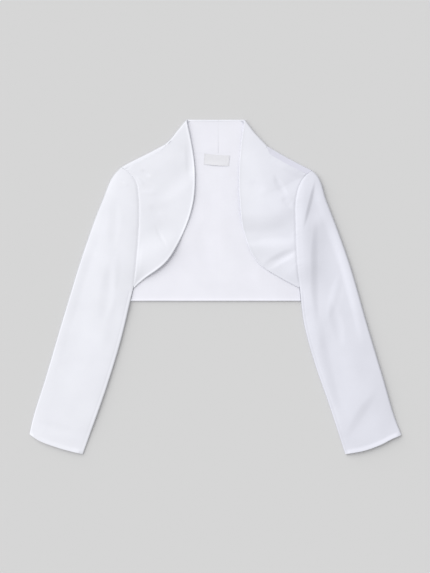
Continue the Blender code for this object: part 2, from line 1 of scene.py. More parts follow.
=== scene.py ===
"""Looks of a child's white satin bolero jacket, laid flat on its back with its fronts upwards.

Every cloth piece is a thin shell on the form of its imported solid, with the folds, turned edges and seam
gathers that the solid leaves out. Plan lines are in millimetres from the middle of the hem, x to the right
and y towards the collar, and heights are above the surface that the jacket lies on.
"""
from collections import namedtuple
from math import pi, radians

import bpy
import numpy as np
from bpy.props import FloatProperty, FloatVectorProperty, PointerProperty
from bpy.types import Operator, Panel, PropertyGroup
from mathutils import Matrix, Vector


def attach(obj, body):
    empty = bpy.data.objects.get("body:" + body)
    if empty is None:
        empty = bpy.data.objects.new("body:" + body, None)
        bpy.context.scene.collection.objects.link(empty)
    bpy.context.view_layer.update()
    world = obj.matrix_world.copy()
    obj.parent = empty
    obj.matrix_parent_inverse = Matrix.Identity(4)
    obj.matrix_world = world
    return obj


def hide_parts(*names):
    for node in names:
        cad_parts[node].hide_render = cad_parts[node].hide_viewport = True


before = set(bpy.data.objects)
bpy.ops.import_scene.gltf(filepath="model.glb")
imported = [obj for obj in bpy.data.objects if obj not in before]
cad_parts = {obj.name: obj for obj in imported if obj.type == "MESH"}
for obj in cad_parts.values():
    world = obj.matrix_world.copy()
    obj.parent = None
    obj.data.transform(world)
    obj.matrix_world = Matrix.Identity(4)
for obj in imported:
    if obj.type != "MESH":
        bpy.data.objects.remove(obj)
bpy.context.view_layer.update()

bl_info = {
    "name": "Satin bolero",
    "version": (1, 0, 0),
    "blender": (4, 5, 0),
    "location": "3D View > Sidebar > Bolero",
    "description": "Dresses the packed bolero jacket in satin and lays it under studio light",
    "category": "Object",
}

MM = 0.001
HEM_MIDDLE = np.array([-1.4, 26.8])   # where the frame's x = 0, y = 0 lies in the plan

# Cloth layers, as in the solids
SEAM = 0.3
FOLD_RADIUS = 3.1
LINING_TOP = 2.3
LAID_HEIGHT = 3.6          # of a front that lies on the lining
SHOULDER_SEAM_IN = {-1: 7.5, 1: 11.0}   # width of the strip that turns over each side's shoulder
SHOULDER_SEAM_HEIGHT = 6.4
ARMHOLE_HEIGHT = {-1: 7.2, 1: 8.8}
ARMHOLE_RISE = 60.0        # distance over which the armhole seam rises from the shoulder
ARMHOLE_FALL = 45.0        # and falls towards the underarm
UNDERARM_HEIGHT = 5.2
UNDERARM_CLOSE = 5.0       # the armhole seam ends this far before the underarm
CROWN_WIDTH = 70.0         # a sleeve as wide as this or wider has its whole crown
CAP_ON_OUTER_FOLD = 210.0
CUFF_BOW_REACH = 120.0
CENTRE_BACK = 5.0
COLLAR_TOP = 340.0
NECK_SEAM = [(-60.0, 281.0), (0.0, 276.5), (60.0, 280.5)]
NEAR_END = 2.0             # where a line's direction at its end is read

# Finer forms of the layers, which the solids leave out
PRESSED_SEAM = 0.03        # gap of a seam that is pressed so flat that it doesn't show
FOLD_TURN = 2.6            # a sleeve's fold is pressed tighter than it is high
LINING_THICKNESS = 0.6
LINING_INSET = 0.6         # from the side seams and armholes
INNER_TURN = 6.1           # from the shoulder's and the collar's folded edges
SHOULDER_TAPER = 0.16      # share of the shoulder over which its turned strip narrows to the neck
SHOULDER_DROP = {-1: 0.2, 1: 1.0}     # how far each side's shoulder slopes down to its outline
FAN_START = 82.0           # a front's rows spread from the neck point to the collar above this on its edge
FOLD_RISE = 52.0           # distance over which a front falls from the collar's fold
SLEEVE_FLOOR = 3.2         # the lowest that a crease brings a sleeve's top
SLEEVE_PRESS = {-1: 0.24, 1: 0.0}   # share of its height that pressing takes from each sleeve
CUFF_REACH = 85.0          # distance over which a sleeve sinks towards its hem
CUFF_SINK = 0.46           # share of its height that it has lost there
HEM_LAYERS = 0.4           # extra thickness of a sleeve's turned hem, as a share

# Rolled edges
EDGE_ROLL_WIDTH = 7.0
EDGE_ROLL_PEAK = 1.5       # distance in from the edge of the roll's highest line
EDGE_ROLL_SHARE = {-1: 1.0, 1: 0.35}  # how much of the roll's height each side's front has
LOW_EDGE = 120.0           # below this the edge turns towards the side seam and has the whole roll
LOW_EDGE_FADE = 60.0
COLLAR_ROLL_WIDTH = 5.2    # the rounded roll of the collar's top
COLLAR_ROLL_START = 0.25   # share of the collar's half over which that roll grows from the fold
HEM_ROLL_WIDTH = 2.0       # the hem's narrower roll
COLLAR_START = 2.5         # where the facing starts behind the collar's roll
HEM_START = 1.1            # where the lining starts behind the hem's roll
COLLAR_RISE = 0.35         # how far the facing is raised there, and over which distance that fades
COLLAR_FADE = 4.0
HEM_RISE = 1.0             # the same for the lining
HEM_FADE = 3.2
ROLL_LIMIT = 0.7           # share of a narrow row that a roll may take up
RIM = 0.3                  # thickness left at the very edge of a turned edge
CUFF_BAND = 15.0
CUFF_LIFT_BAND = 9.0       # how far up from its end the sleeve's hem stands up
CUFF_LIFT_IN = 10.0        # distance from the sleeve's folds over which it starts to

# Seams. Folds are calmer beside one: this share of them is left at the seam itself.
CALM_SHARE = 0.35
CALM_WIDTH = 14.0          # beside the armhole seam
OUTER_CALM = 22.0          # beside a sleeve's outer fold
INNER_CALM = 7.0           # and beside its inner fold, below the underarm
SEAM_DIP_WIDTH = 2.6       # distance over which the cloth dips into a seam
SEAM_DIP_END = 14.0        # distance over which the dip ends at the shoulder
SLEEVE_SEAM_IN = 5.5       # the underarm seam shows this far inside the sleeve's inner fold
UNDERARM_DIP = 0.2
UNDERARM_DIP_WIDTH = 1.5
UNDERARM_BLEND = 14.0      # distance over which the armhole seam passes into the underarm seam
FRONT_GATHERS = 9.0        # how far gathers reach from the armhole into the front
SLEEVE_GATHERS = 11.0      # and into the sleeve
UNDERARM_GATHERS = 5.0
GATHER_START = 1.5         # distance from the seam over which they begin
UNDERARM_GATHER_START = 4.0
BACK_SEAM_RISE = 0.3       # the pressed line down the middle of the underside
BACK_SEAM_WIDTH = 1.2
BACK_SEAM_START = 3.0      # it begins this far above the hem
BACK_SEAM_FADE = 5.0
LINING_SEAM_DIP = 0.06
LINING_SEAM_WIDTH = 2.0
FACING_SEAM_DIP = 0.05
FACING_SEAM_WIDTH = 3.0
LINING_FOLD_RANGE = (-0.7, 0.45)
CREASE_RANGE = (0.0, 0.5)  # creases of the underside go inwards only
CREASE_START = 8.0         # they begin this far above the hem
CREASE_FADE = 20.0

# Steps of the meshes
ARMHOLE_ROWS = 118
SHOULDER_ROWS = 46
FAN_ROWS = 34
FOLD_STEPS = 13
COLLAR_ROWS = 34
EDGE_STEPS = 9
FRONT_COLUMNS = 56
TUBE_ROWS = 150
TUBE_CROWDING = 0.55
SLEEVE_TOP_COLUMNS = 84
SLEEVE_TOP_CROWDING = 0.6
SLEEVE_UNDER_COLUMNS = 26
QUARTER_STEPS = 6
BACK_COLUMNS = 34          # on each side's shoulder, and on its half of the neck
BACK_ROWS = 100
LINING_ROWS = 150
SIDE_SEAM_SHARE = 12       # a side seam has the armhole's rows divided by this
HEM_ROW_GAP = 0.5          # least distance from the hem's roll to the next row
CREASE_COLUMNS = 6.0       # columns at each side over which creases fade out
STRIP_ROWS = 5
FACING_COLUMNS = 40
FACING_CROWDING = 0.5
FACING_ROWS = 64
LABEL_COLUMNS = 97
LABEL_ROWS = 49

# Random seeds of the waves and the gathers. Those of a front or sleeve differ by one from side to side.
FRONT_WAVES, SLEEVE_WAVES, LINING_WAVES, FACING_WAVES = 3, 11, 21, 31
FRONT_GATHER_SEED, SLEEVE_GATHER_SEED, UNDERARM_GATHER_SEED = 1, 5, 7

# Satin: its random tone and its painted shades. Each pair is the range over which a change of tone comes in.
PAINTED_SHADE_ACROSS = (0.020, 0.170)     # painted shade, darker towards the right; in metres, towards the right
# Painted shade on the strip that turns over the right shoulder: the heights and the places towards the right,
# in metres, over which it comes in.
SHOULDER_SHADE_HEIGHT = (0.0036, 0.0050)
SHOULDER_SHADE_ACROSS = (0.084, 0.112)
NOISE_RANGE = (0.3, 0.7)         # middle part of a noise, in which most of it lies
LAMP_FACING_SHADE_RANGE = (0.25, 0.75)   # part of the surface's normal that points to the lamp, seen from above, over which the painted shade comes in
LAMP_FACING_PAINTED_SHADE = 0.66    # painted shade: share of the satin's tone left on an edge that is turned to the lamp

Stations = namedtuple("Stations", "collar_fold shoulder armhole front_edge outer_fold inner_fold cuff")

# Outline of each side, every line from the collar or shoulder downwards, as (x, y) stations
LEFT = Stations(
    collar_fold=[(-54.5, 340.0), (-71.0, 320.0), (-85.5, 302.0), (-95.0, 293.5)],
    shoulder=[(-95.0, 293.5), (-127.0, 276.5), (-160.0, 260.0), (-177.0, 250.5)],
    armhole=[(-177.0, 250.5), (-163.0, 242.0), (-150.0, 226.0), (-144.5, 197.0), (-144.0, 141.0),
             (-149.5, 66.0), (-154.0, 24.0)],
    front_edge=[(-54.5, 340.0), (-44.5, 294.0), (-38.0, 234.0), (-41.0, 188.0), (-67.0, 113.0),
                (-90.5, 75.0), (-137.5, 38.0), (-153.0, 24.5)],
    outer_fold=[(-177.0, 250.5), (-188.5, 238.5), (-212.0, 188.0), (-242.5, 106.0), (-281.5, -19.0),
                (-320.0, -149.0), (-343.0, -224.0), (-348.5, -249.0)],
    inner_fold=[(-154.0, 24.0), (-159.5, 0.5), (-177.5, -74.0), (-200.0, -149.0), (-248.5, -286.5)],
    cuff=[(-348.5, -249.0), (-331.5, -260.5), (-306.5, -270.5), (-281.0, -278.5), (-248.5, -286.5)],
)
RIGHT = Stations(
    collar_fold=[(54.5, 340.0), (71.5, 317.5), (97.0, 290.0)],
    shoulder=[(97.0, 290.0), (128.5, 271.5), (160.5, 254.5), (180.0, 244.5)],
    armhole=[(180.0, 244.5), (165.5, 232.0), (157.0, 217.5), (150.0, 190.0), (149.5, 141.0),
             (153.5, 60.0), (157.5, 24.0)],
    front_edge=[(54.5, 340.0), (48.0, 298.0), (44.0, 230.0), (46.0, 178.0), (52.0, 133.0), (80.0, 71.5),
                (121.0, 43.5), (156.5, 24.5)],
    outer_fold=[(180.0, 244.5), (187.5, 238.0), (207.5, 188.0), (248.0, 78.0), (284.5, -47.0),
                (314.5, -147.0), (337.5, -224.0), (348.0, -250.5)],
    inner_fold=[(157.5, 24.0), (164.5, -37.0), (184.0, -111.5), (210.0, -186.5), (243.0, -286.5)],
    cuff=[(348.0, -250.5), (332.0, -257.0), (310.5, -268.0), (281.0, -279.0), (243.0, -286.5)],
)

# A fold runs from (x0, y0) to (x1, y1), bowed to its left by bow at the middle. It fades out over its
# distance to the left and to the right, seen along it, and lift is its height, below zero for a trough.
Fold = namedtuple("Fold", "x0 y0 x1 y1 bow left right lift")

LEFT_FRONT_FOLDS = [
    Fold(-64, 138, -142, 28, 8, 30, 60, 4.6),        # free edge that stands off the lining
    Fold(-40, 350, -44, 120, 4, 24, 84, 1.4),        # and a little along the neck
    Fold(-64, 300, -150, 206, 0, 26, 34, 0.5),       # broad swell below the shoulder
    Fold(-40, 262, -122, 186, 8, 24, 28, -0.9),      # diagonal valley below it
    Fold(-56, 306, -50, 214, 3, 12, 8, -0.6),        # dent behind the collar's edge
    Fold(-141, 247, -120, 232, 0, 6, 7, -0.7),       # dimple at the head of the armhole
    Fold(-150, 236, -132, 214, 0, 5, 5, 0.4),
    Fold(-126, 181, -98, 160, 0, 8, 10, -0.4),
    Fold(-113, 146, -86, 94, -2, 5, 7, -0.45),       # fine crease towards the edge
    Fold(-146, 204, -104, 202, 0, 8, 8, 0.3),
]
RIGHT_FRONT_FOLDS = [
    Fold(104, 266, 174, 230, 3, 22, 16, 1.2),        # crest from which the shoulder slopes away
    Fold(-30, 164, 156, 164, 0, 120, 42, 4.4),       # level above the wide trough, falling into it
    Fold(20, 119, 190, 121, 0, 30, 22, -1.1),        # the trough's bottom
    Fold(20, 98, 180, 104, 2, 18, 30, 1.0),          # ridge below it
    Fold(162, 98, 82, 54, -4, 12, 12, -1.5),         # diagonal crease down to the edge
    Fold(109, 240, 136, 196, -2, 7, 10, -1.2),       # short diagonal creases under the shoulder
    Fold(122, 196, 146, 172, 0, 9, 9, -0.9),
    Fold(60, 224, 96, 206, 0, 12, 12, -0.5),
]
LEFT_SLEEVE_FOLDS = [
    Fold(-214, 190, -302, -210, 0, 52, 46, -1.3),    # wide hollow between the two folded edges
    Fold(-187, 196, -192, 96, 2, 13, 16, -0.45),
    Fold(-196, 74, -212, -46, 3, 15, 18, -0.8),
    Fold(-184, 92, -192, 10, 0, 12, 13, 0.4),        # soft ridge beside the underarm
    Fold(-186, 10, -210, -110, 6, 22, 18, -0.6),
    Fold(-350, -222, -232, -252, -4, 14, 16, -0.9),  # hollow just above the hem
    Fold(-160, 214, -176, 224, 0, 4, 4, 0.3),
]
RIGHT_SLEEVE_FOLDS = [
    Fold(167, 236, 172, 0, -4, 24, 20, 0.9),         # crest beside the armhole
    Fold(170, 60, 238, -240, -8, 16, 16, 0.6),       # and on down the inner fold
    Fold(190, 234, 165, 132, 3, 40, 8, -2.5),        # dent at the head, steep towards the armhole
    Fold(196, 216, 270, -96, 0, 25, 58, -3.5),       # long wide trough towards the outer fold
    Fold(192, 160, 194, -44, 0, 60, 17, -3.0),       # its dark inner slope
    Fold(204, -30, 258, -240, -8, 44, 26, -1.9),     # its lower end
    Fold(234, 64, 207, -40, 2, 12, 12, 0.6),         # light ridge across
    Fold(214, 10, 236, -90, 2, 14, 14, -0.9),
    Fold(308, -166, 246, -262, 3, 44, 20, -1.7),     # diagonal hollow towards the hem
]
LINING_FOLDS = [
    Fold(-28, 232, -44, 110, -4, 18, 22, -0.35),
    Fold(-34, 150, -8, 46, 0, 20, 24, -0.45),
    Fold(4, 240, 10, 60, 3, 24, 24, 0.35),
    Fold(30, 120, 84, 20, 0, 20, 22, -0.4),
    Fold(-90, 40, 60, 34, 0, 14, 14, 0.2),
]
BACK_FOLDS = [
    Fold(-110, 210, -60, 60, 6, 20, 26, 0.5),
    Fold(60, 230, 96, 70, -6, 22, 20, 0.5),
    Fold(-40, 150, 30, 130, 3, 16, 18, 0.4),
]

# Stage, in metres
FLOOR_HALF = 4.0
FLOOR_GAP = 0.0004         # how far below the cloth's lowest points the paper lies
CAMERA_PLACE = (0.0004, 0.0006)
CAMERA_REACH = 20.0

# Neck label
LABEL_WIDTH = 48.0
LABEL_DEPTH = 20.0
LABEL_CENTRE = (2.0, 264.6)
LABEL_TURN = radians(-4.5)
LABEL_BOW = 0.6
LABEL_THICKNESS = 0.25
LABEL_REST = 0.45          # height of its top above the lining where it lies
LABEL_LIFT = 0.7           # how far its free lower edge lifts more
SELVEDGE_HEIGHT = 0.08
SELVEDGE_WIDTH = 0.9
RIB_SPACING = 0.9
RIB_SPACING_ACROSS = 1.3
STITCHES = 9               # at each end of the label
STITCH_LENGTH = 1.9
STITCH_RADIUS = 0.16
STITCH_ENDS = [-0.47, 0.47]      # across the label, as shares of its width
STITCH_SPAN = 0.44         # highest and lowest, as a share of its depth
TWIST_SPACING = 0.6

# What shows of each piece, laid out flat: width and length in metres and area in square metres. A sleeve's
# is all round the arm. Seam allowances don't show and come on top.
Cut = namedtuple("Cut", "width length area")


def linear(hex_colour):
    """The linear values of an sRGB hex colour."""
    value = np.array([int(hex_colour[k:k + 2], 16) for k in (0, 2, 4)]) / 255
    return tuple(np.where(value <= 0.04045, value / 12.92, ((value + 0.055) / 1.055) ** 2.4).tolist())


def length_property(name, description, default):
    """A length that a user may change, given here in millimetres."""
    return FloatProperty(name=name, description=description, default=default * MM, min=0.0,
                         subtype="DISTANCE", unit="LENGTH", precision=4)


def colour_property(name, description, default):
    """A colour that a user may change, given here as an sRGB hex colour."""
    return FloatVectorProperty(name=name, description=description, default=linear(default),
                               min=0.0, max=1.0, size=3, subtype="COLOR")


class BoleroShape(PropertyGroup):
    """Sizes of the cloth and its folds."""
    thickness: length_property("Cloth thickness", "Thickness of the satin with its lining", 0.8)
    crown: length_property("Sleeve crown", "Height of a laid sleeve's middle", 8.0)
    edge_roll: length_property("Front edge roll", "How far the turned front edge stands up", 0.8)
    collar_roll: length_property("Collar roll", "How far the collar's turned top stands up inside", 2.0)
    hem_roll: length_property("Hem roll", "How far the turned hem stands up inside", 2.4)
    seam_dip: length_property("Seam dip", "How far the cloth dips into a seam", 0.45)
    gathers: length_property("Seam gathers", "Height of the small gathers beside a seam", 0.16)
    unevenness: length_property("Unevenness", "Height of the soft waves that pressing leaves", 0.12)
    cuff_lift: length_property("Cuff lift", "How far the sleeve's turned hem stands up at its end", 1.6)
    fold_depth: FloatProperty(name="Fold depth", description="Depth of every fold, as a share",
                              default=1.0, min=0.0, max=2.0, subtype="FACTOR")


class BoleroCloth(PropertyGroup):
    """Colours and finish of the cloth, and the shades painted into its colour."""
    satin_colour: colour_property("Satin", "Outside cloth", "EFF0F7")
    # Painted shade: these two tones darken the satin and the lining towards the right.
    satin_painted_shade_right: colour_property("Satin along the light", "Its tone on the right", "F3F3F6")
    lining_painted_shade_right: colour_property("Lining along the light", "The same for the lining", "FAFAFB")
    # Painted shade on the strip where the back turns over the right shoulder.
    shoulder_painted_shade_colour: colour_property("Turned satin", "Where it turns over the shoulder", "DCDCE8")
    lining_colour: colour_property("Lining", "Cloth inside the back", "F1F1F9")
    label_colour: colour_property("Label", "Woven ribbon of the neck label", "F0F0F5")
    thread_colour: colour_property("Thread", "Thread that sews on the label", "F2F2F5")
    satin_roughness: FloatProperty(name="Satin roughness", description="Roughness of the pressed face",
                                   default=0.52, min=0.0, max=1.0, subtype="FACTOR")
    lustre: FloatProperty(name="Lustre", description="Soft light that the floats return at an angle",
                          default=0.12, min=0.0, max=1.0, subtype="FACTOR")
    thread_spacing: length_property("Thread spacing", "Spacing at which the satin's floats are drawn", 0.9)


class BoleroStage(PropertyGroup):
    """Floor, light and camera."""
    floor_colour: colour_property("Floor", "Plain paper under the jacket", "D7D7D7")
    key_strength: FloatProperty(name="Key strength", description="Strength of the soft light from the side",
                                default=2.46, min=0.0)
    key_elevation: FloatProperty(name="Key elevation", description="Height of that light over the floor",
                                 default=radians(35), subtype="ANGLE", unit="ROTATION")
    key_heading: FloatProperty(name="Key heading", description="Its turn from the collar's side",
                               default=radians(52), subtype="ANGLE", unit="ROTATION")
    key_softness: FloatProperty(name="Key softness", description="Angle that the light fills",
                                default=radians(68), subtype="ANGLE", unit="ROTATION")
    fill_strength: FloatProperty(name="Fill strength", description="Even light from all round",
                                 default=0.545, min=0.0)
    camera_height: FloatProperty(name="Camera height", description="Height of the camera above the floor",
                                 default=3.0, min=0.5, subtype="DISTANCE", unit="LENGTH")
    picture_height: FloatProperty(name="Picture height", description="Length of floor that the picture shows",
                                  default=1.0735, min=0.1, subtype="DISTANCE", unit="LENGTH")


class Line:
    """A smooth plan line through its stations, read by distance along it. Between two stations it is a cubic
    whose slope at each is the one its neighbours give."""

    def __init__(self, stations, steps=60):
        points = np.array(stations, float)
        knots = np.concatenate([[0.0], np.cumsum(np.linalg.norm(np.diff(points, axis=0), axis=1))])
        slopes = np.gradient(points, knots, axis=0)
        place = np.linspace(0.0, knots[-1], steps * (len(points) - 1) + 1)
        k = np.clip(np.searchsorted(knots, place, side="right") - 1, 0, len(points) - 2)
        span = (knots[k + 1] - knots[k])[:, None]
        u = (place - knots[k])[:, None] / span
        self.points = (points[k] * (1 + 2 * u) * (1 - u) ** 2 + points[k + 1] * u * u * (3 - 2 * u)
                       + span * (slopes[k] * u * (1 - u) ** 2 + slopes[k + 1] * u * u * (u - 1)))
        self.run = np.concatenate([[0.0], np.cumsum(np.linalg.norm(np.diff(self.points, axis=0), axis=1))])
        self.length = self.run[-1]

    def at(self, distance):
        """Points at a distance along the line."""
        return np.stack([np.interp(distance, self.run, self.points[:, k]) for k in (0, 1)], axis=-1)

    def way(self, distance):
        """Unit direction at a distance."""
        step = self.at(np.add(distance, 1.0)) - self.at(np.subtract(distance, 1.0))
        return step / np.linalg.norm(step, axis=-1, keepdims=True)


def ease(value):
    """Smooth step from 0 to 1."""
    value = np.clip(value, 0.0, 1.0)
    return value * value * (3 - 2 * value)


def mix(first, second, share):
    """A value between two."""
    return first + (second - first) * share


def graded(count, crowding):
    """Steps from 0 to 1 that crowd towards both ends: x - crowding · sin(2πx) / 2π."""
    x = np.linspace(0.0, 1.0, count)
    return x - crowding * np.sin(2 * pi * x) / (2 * pi)


def soft_floor(height, floor, blend=0.5):
    """A height kept above a floor, rounded where it would meet it."""
    over = height - floor
    return floor + 0.5 * (over + np.sqrt(over * over + blend * blend))


def fold_lift(plan, folds):
    """Sum of the folds. Each is a cosine hump over the distance from its bowed line, wider on one side than
    the other, and both its height and its width swell from its ends to its middle."""
    lift = np.zeros(plan.shape[:-1])
    for fold in folds:
        start = np.array([fold.x0, fold.y0], float)
        along = np.array([fold.x1, fold.y1], float) - start
        length = np.linalg.norm(along)
        along /= length
        reach = plan - start
        t = np.clip(reach @ along / length, 0.0, 1.0)
        across = reach @ np.array([-along[1], along[0]]) - fold.bow * 4 * t * (1 - t)
        swell = ease(np.minimum(t, 1 - t) / 0.4)
        width = np.where(across > 0, fold.left, fold.right) * (0.55 + 0.45 * swell)
        lift += fold.lift * swell * 0.5 * (1 + np.cos(pi * np.minimum(np.abs(across) / width, 1.0)))
    return lift


def gathers(run, away, reach, seed):
    """Small gathers beside a seam: three waves along it of unequal lengths, strong and weak by turns, that
    fade out with the distance from the seam."""
    lengths = np.array([7.3, 11.9, 19.7])
    phases = seed * np.array([1.7, 2.9, 4.1])
    waves = sum(np.sin(2 * pi * run / size + phase) for size, phase in zip(lengths, phases)) / 3
    uneven = 0.6 + 0.4 * np.sin(2 * pi * run / 57.0 + seed)
    return waves * uneven * np.exp(-(away / reach) ** 2)


def pressing(plan, seed):
    """Soft waves that pressing leaves: ten plane waves, 34 to 110 mm long, in scattered directions."""
    draw = np.random.default_rng(seed)
    lengths = draw.uniform(34.0, 110.0, 10)
    turns = draw.uniform(0.0, pi, 10)
    phases = draw.uniform(0.0, 2 * pi, 10)
    ways = np.stack([np.cos(turns), np.sin(turns)]) / lengths
    return np.sin(2 * pi * (plan @ ways) + phases).sum(axis=-1) / 10 ** 0.5


def edge_roll(distance, width, height, wall):
    """A turned edge: it rises steeply, x · exp(1 - x) with x = 1 at its peak, and fades out softly over the
    given width, and its very edge is drawn down to a thin rim."""
    share = np.clip(distance / width, 0.0, 1.0)
    x = share * EDGE_ROLL_WIDTH / EDGE_ROLL_PEAK
    bead = height * x * np.exp(1 - x) * (1 - ease(share))
    return bead - (wall - RIM) * (1 - np.clip(x, 0.0, 1.0)) ** 2


def narrow_roll(distance, width, height, wall):
    """The hem's or the collar top's roll: a rounded bead, sin(π d / width) to the power 0.7, with a thin
    rim at its edge."""
    share = np.clip(distance / width, 0.0, 1.0)
    return height * np.sin(pi * share) ** 0.7 - (wall - RIM) * (1 - np.clip(4 * share, 0.0, 1.0)) ** 2


class Side:
    """The plan lines that the pieces of one side share."""

    def __init__(self, stations, front_folds, sleeve_folds, outward):
        self.outward = outward
        self.front_folds = front_folds
        self.sleeve_folds = sleeve_folds
        self.roll_share = EDGE_ROLL_SHARE[outward]
        self.seam_in = SHOULDER_SEAM_IN[outward]
        self.collar_fold = Line(stations.collar_fold)
        self.shoulder = Line(stations.shoulder)
        self.armhole = Line(stations.armhole)
        self.front_edge = Line(stations.front_edge)
        self.outer_fold = Line(stations.outer_fold)
        self.inner_fold = Line(stations.inner_fold)
        self.cuff = Line(stations.cuff)
        middle = self.collar_fold.way(self.collar_fold.length - NEAR_END) + self.shoulder.way(NEAR_END)
        middle /= np.linalg.norm(middle)
        self.neck_in = np.array([middle[1], -middle[0]]) * outward

    def beside(self, line, distance, inset):
        """Plan points at an inset from one of the side's lines, towards the body."""
        way = line.way(distance)
        return line.at(distance) + inset * np.stack([way[..., 1], -way[..., 0]], axis=-1) * self.outward

    def shoulder_point(self, share, inset):
        """Plan points at an inset from the shoulder's outline, share 0 at the neck and 1 at the sleeve."""
        share = np.asarray(share, float)[..., None]
        step = mix(self.neck_in, self.armhole.way(NEAR_END), share)
        step = step / np.linalg.norm(step, axis=-1, keepdims=True)
        return self.shoulder.at(share[..., 0] * self.shoulder.length) + np.asarray(inset)[..., None] * step

    def collar_point(self, share, inset, underside):
        """Plan points by the collar's fold, share 0 at the neck and 1 at the top; underside runs 0 to 1."""
        share, inset, underside = (np.asarray(value, float)[..., None] for value in (share, inset, underside))
        top_step = self.front_edge.way(NEAR_END)
        under_step = np.array([-self.outward, 0.0])
        fold = self.collar_fold.way(NEAR_END)
        normal = np.array([fold[1], -fold[0]]) * self.outward
        end_step = mix(top_step / (top_step @ normal), under_step / (under_step @ normal), underside)
        neck_step = self.neck_in / (self.neck_in @ normal)
        place = self.collar_fold.at((1 - share[..., 0]) * self.collar_fold.length)
        return place + inset * mix(neck_step, end_step, share)

    def armhole_height(self, distance):
        """Height of the armhole seam on top, by distance from the shoulder."""
        rise = ease((distance - self.seam_in) / ARMHOLE_RISE)
        fall = ease((distance - self.armhole.length + ARMHOLE_FALL) / ARMHOLE_FALL)
        return mix(mix(SHOULDER_SEAM_HEIGHT, ARMHOLE_HEIGHT[self.outward], rise), UNDERARM_HEIGHT, fall)

    def armhole_steps(self, count=ARMHOLE_ROWS):
        """Distances along the armhole seam, from the shoulder seam to just before the underarm."""
        return np.linspace(self.seam_in, self.armhole.length - UNDERARM_CLOSE, count)

    def strip_width(self, share):
        """How far the back turns over the shoulder, by the share of the way from the neck to the sleeve."""
        return mix(FOLD_RADIUS + SEAM, self.seam_in, ease(share / SHOULDER_TAPER))


def new_piece(name, vertices, faces, material):
    """A mesh object from vertices in plan millimetres, put in its place in the frame."""
    vertices = vertices.copy()
    vertices[:, :2] -= HEM_MIDDLE
    mesh = bpy.data.meshes.new(name)
    mesh.from_pydata((vertices * MM).tolist(), [], faces)
    mesh.shade_smooth()
    mesh.materials.append(material)
    piece = bpy.data.objects.new(name, mesh)
    bpy.context.scene.collection.objects.link(piece)
    return piece


def shell(name, points, thickness, flip, material, cloth=None, numbers=None):
    """A thin closed shell: the outer surface's grid of points, the same points moved inwards along their
    averaged normals, and a rim along each open edge. cloth gives each point its place on the flat cloth,
    for the weave, and numbers joins grid points that are one point, with -1 for one that isn't there."""
    shape = points.shape[:2]
    points = points.reshape(-1, 3)
    cloth = points[:, :2] if cloth is None else cloth.reshape(-1, 2)
    thickness = np.broadcast_to(thickness, shape).ravel()
    numbers = np.arange(len(points)).reshape(shape) if numbers is None else numbers
    corners = np.stack([numbers[:-1, :-1], numbers[:-1, 1:], numbers[1:, 1:], numbers[1:, :-1]], axis=-1)
    corners = corners.reshape(-1, 4)
    corners = corners[corners.min(axis=1) >= 0]
    if flip:
        corners = corners[:, ::-1]
    used, corners = np.unique(corners, return_inverse=True)
    corners = corners.reshape(-1, 4)
    points, cloth, thickness = points[used], cloth[used], thickness[used]
    normals = np.zeros_like(points)
    face_normals = np.cross(points[corners[:, 2]] - points[corners[:, 0]],
                            points[corners[:, 3]] - points[corners[:, 1]])
    for k in range(4):
        np.add.at(normals, corners[:, k], face_normals)
    normals /= np.linalg.norm(normals, axis=1, keepdims=True)

    count = len(points)
    repeated = corners == np.roll(corners, 1, axis=1)
    quads = corners[~repeated.any(axis=1)]
    folded = corners[repeated.sum(axis=1) == 1]
    triangles = folded[~repeated[repeated.sum(axis=1) == 1]].reshape(-1, 3)
    starts = np.concatenate([quads.ravel(), triangles.ravel()])
    ends = np.concatenate([np.roll(quads, -1, axis=1).ravel(), np.roll(triangles, -1, axis=1).ravel()])
    open_edge = ~np.isin(starts * count + ends, ends * count + starts)
    a, b = starts[open_edge], ends[open_edge]
    rims = np.stack([b, a, a + count, b + count], axis=1)
    quads = np.concatenate([quads, quads[:, ::-1] + count, rims])
    triangles = np.concatenate([triangles, triangles[:, ::-1] + count])

    vertices = np.concatenate([points, points - normals * thickness[:, None]])
    piece = new_piece(name, vertices, quads.tolist() + triangles.tolist(), material)
    mesh = piece.data
    corner_points = np.empty(len(mesh.loops), np.int32)
    mesh.loops.foreach_get("vertex_index", corner_points)
    thread = mesh.uv_layers.new(name="Thread")
    places = (np.tile(cloth, (2, 1)) * MM)[corner_points]
    thread.uv.foreach_set("vector", places.astype(np.float32).ravel())
    mesh.set_sharp_from_angle(angle=radians(50))
    return piece


def dress(piece, node):
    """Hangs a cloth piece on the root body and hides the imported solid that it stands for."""
    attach(piece, "root")
    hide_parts(node)


def with_height(plan, heights):
    """Plan points with their heights."""
    return np.concatenate([plan, heights[..., None]], axis=-1)


def edge_columns(widths, columns, roll_width=EDGE_ROLL_WIDTH):
    """Distances in from a turned edge for rows of the given widths: close steps over the roll, then steps
    that crowd towards the far side. Also the roll's own width, which narrow rows squeeze."""
    roll = np.minimum(roll_width, ROLL_LIMIT * widths)[:, None]
    inside = roll * np.linspace(0.0, 1.0, EDGE_STEPS + 1) ** 1.3
    x = np.linspace(0.0, 1.0, columns + 1)[1:]
    rest = mix(roll, widths[:, None], 1 - (1 - x) ** 1.5)
    return np.concatenate([inside, rest], axis=1), roll


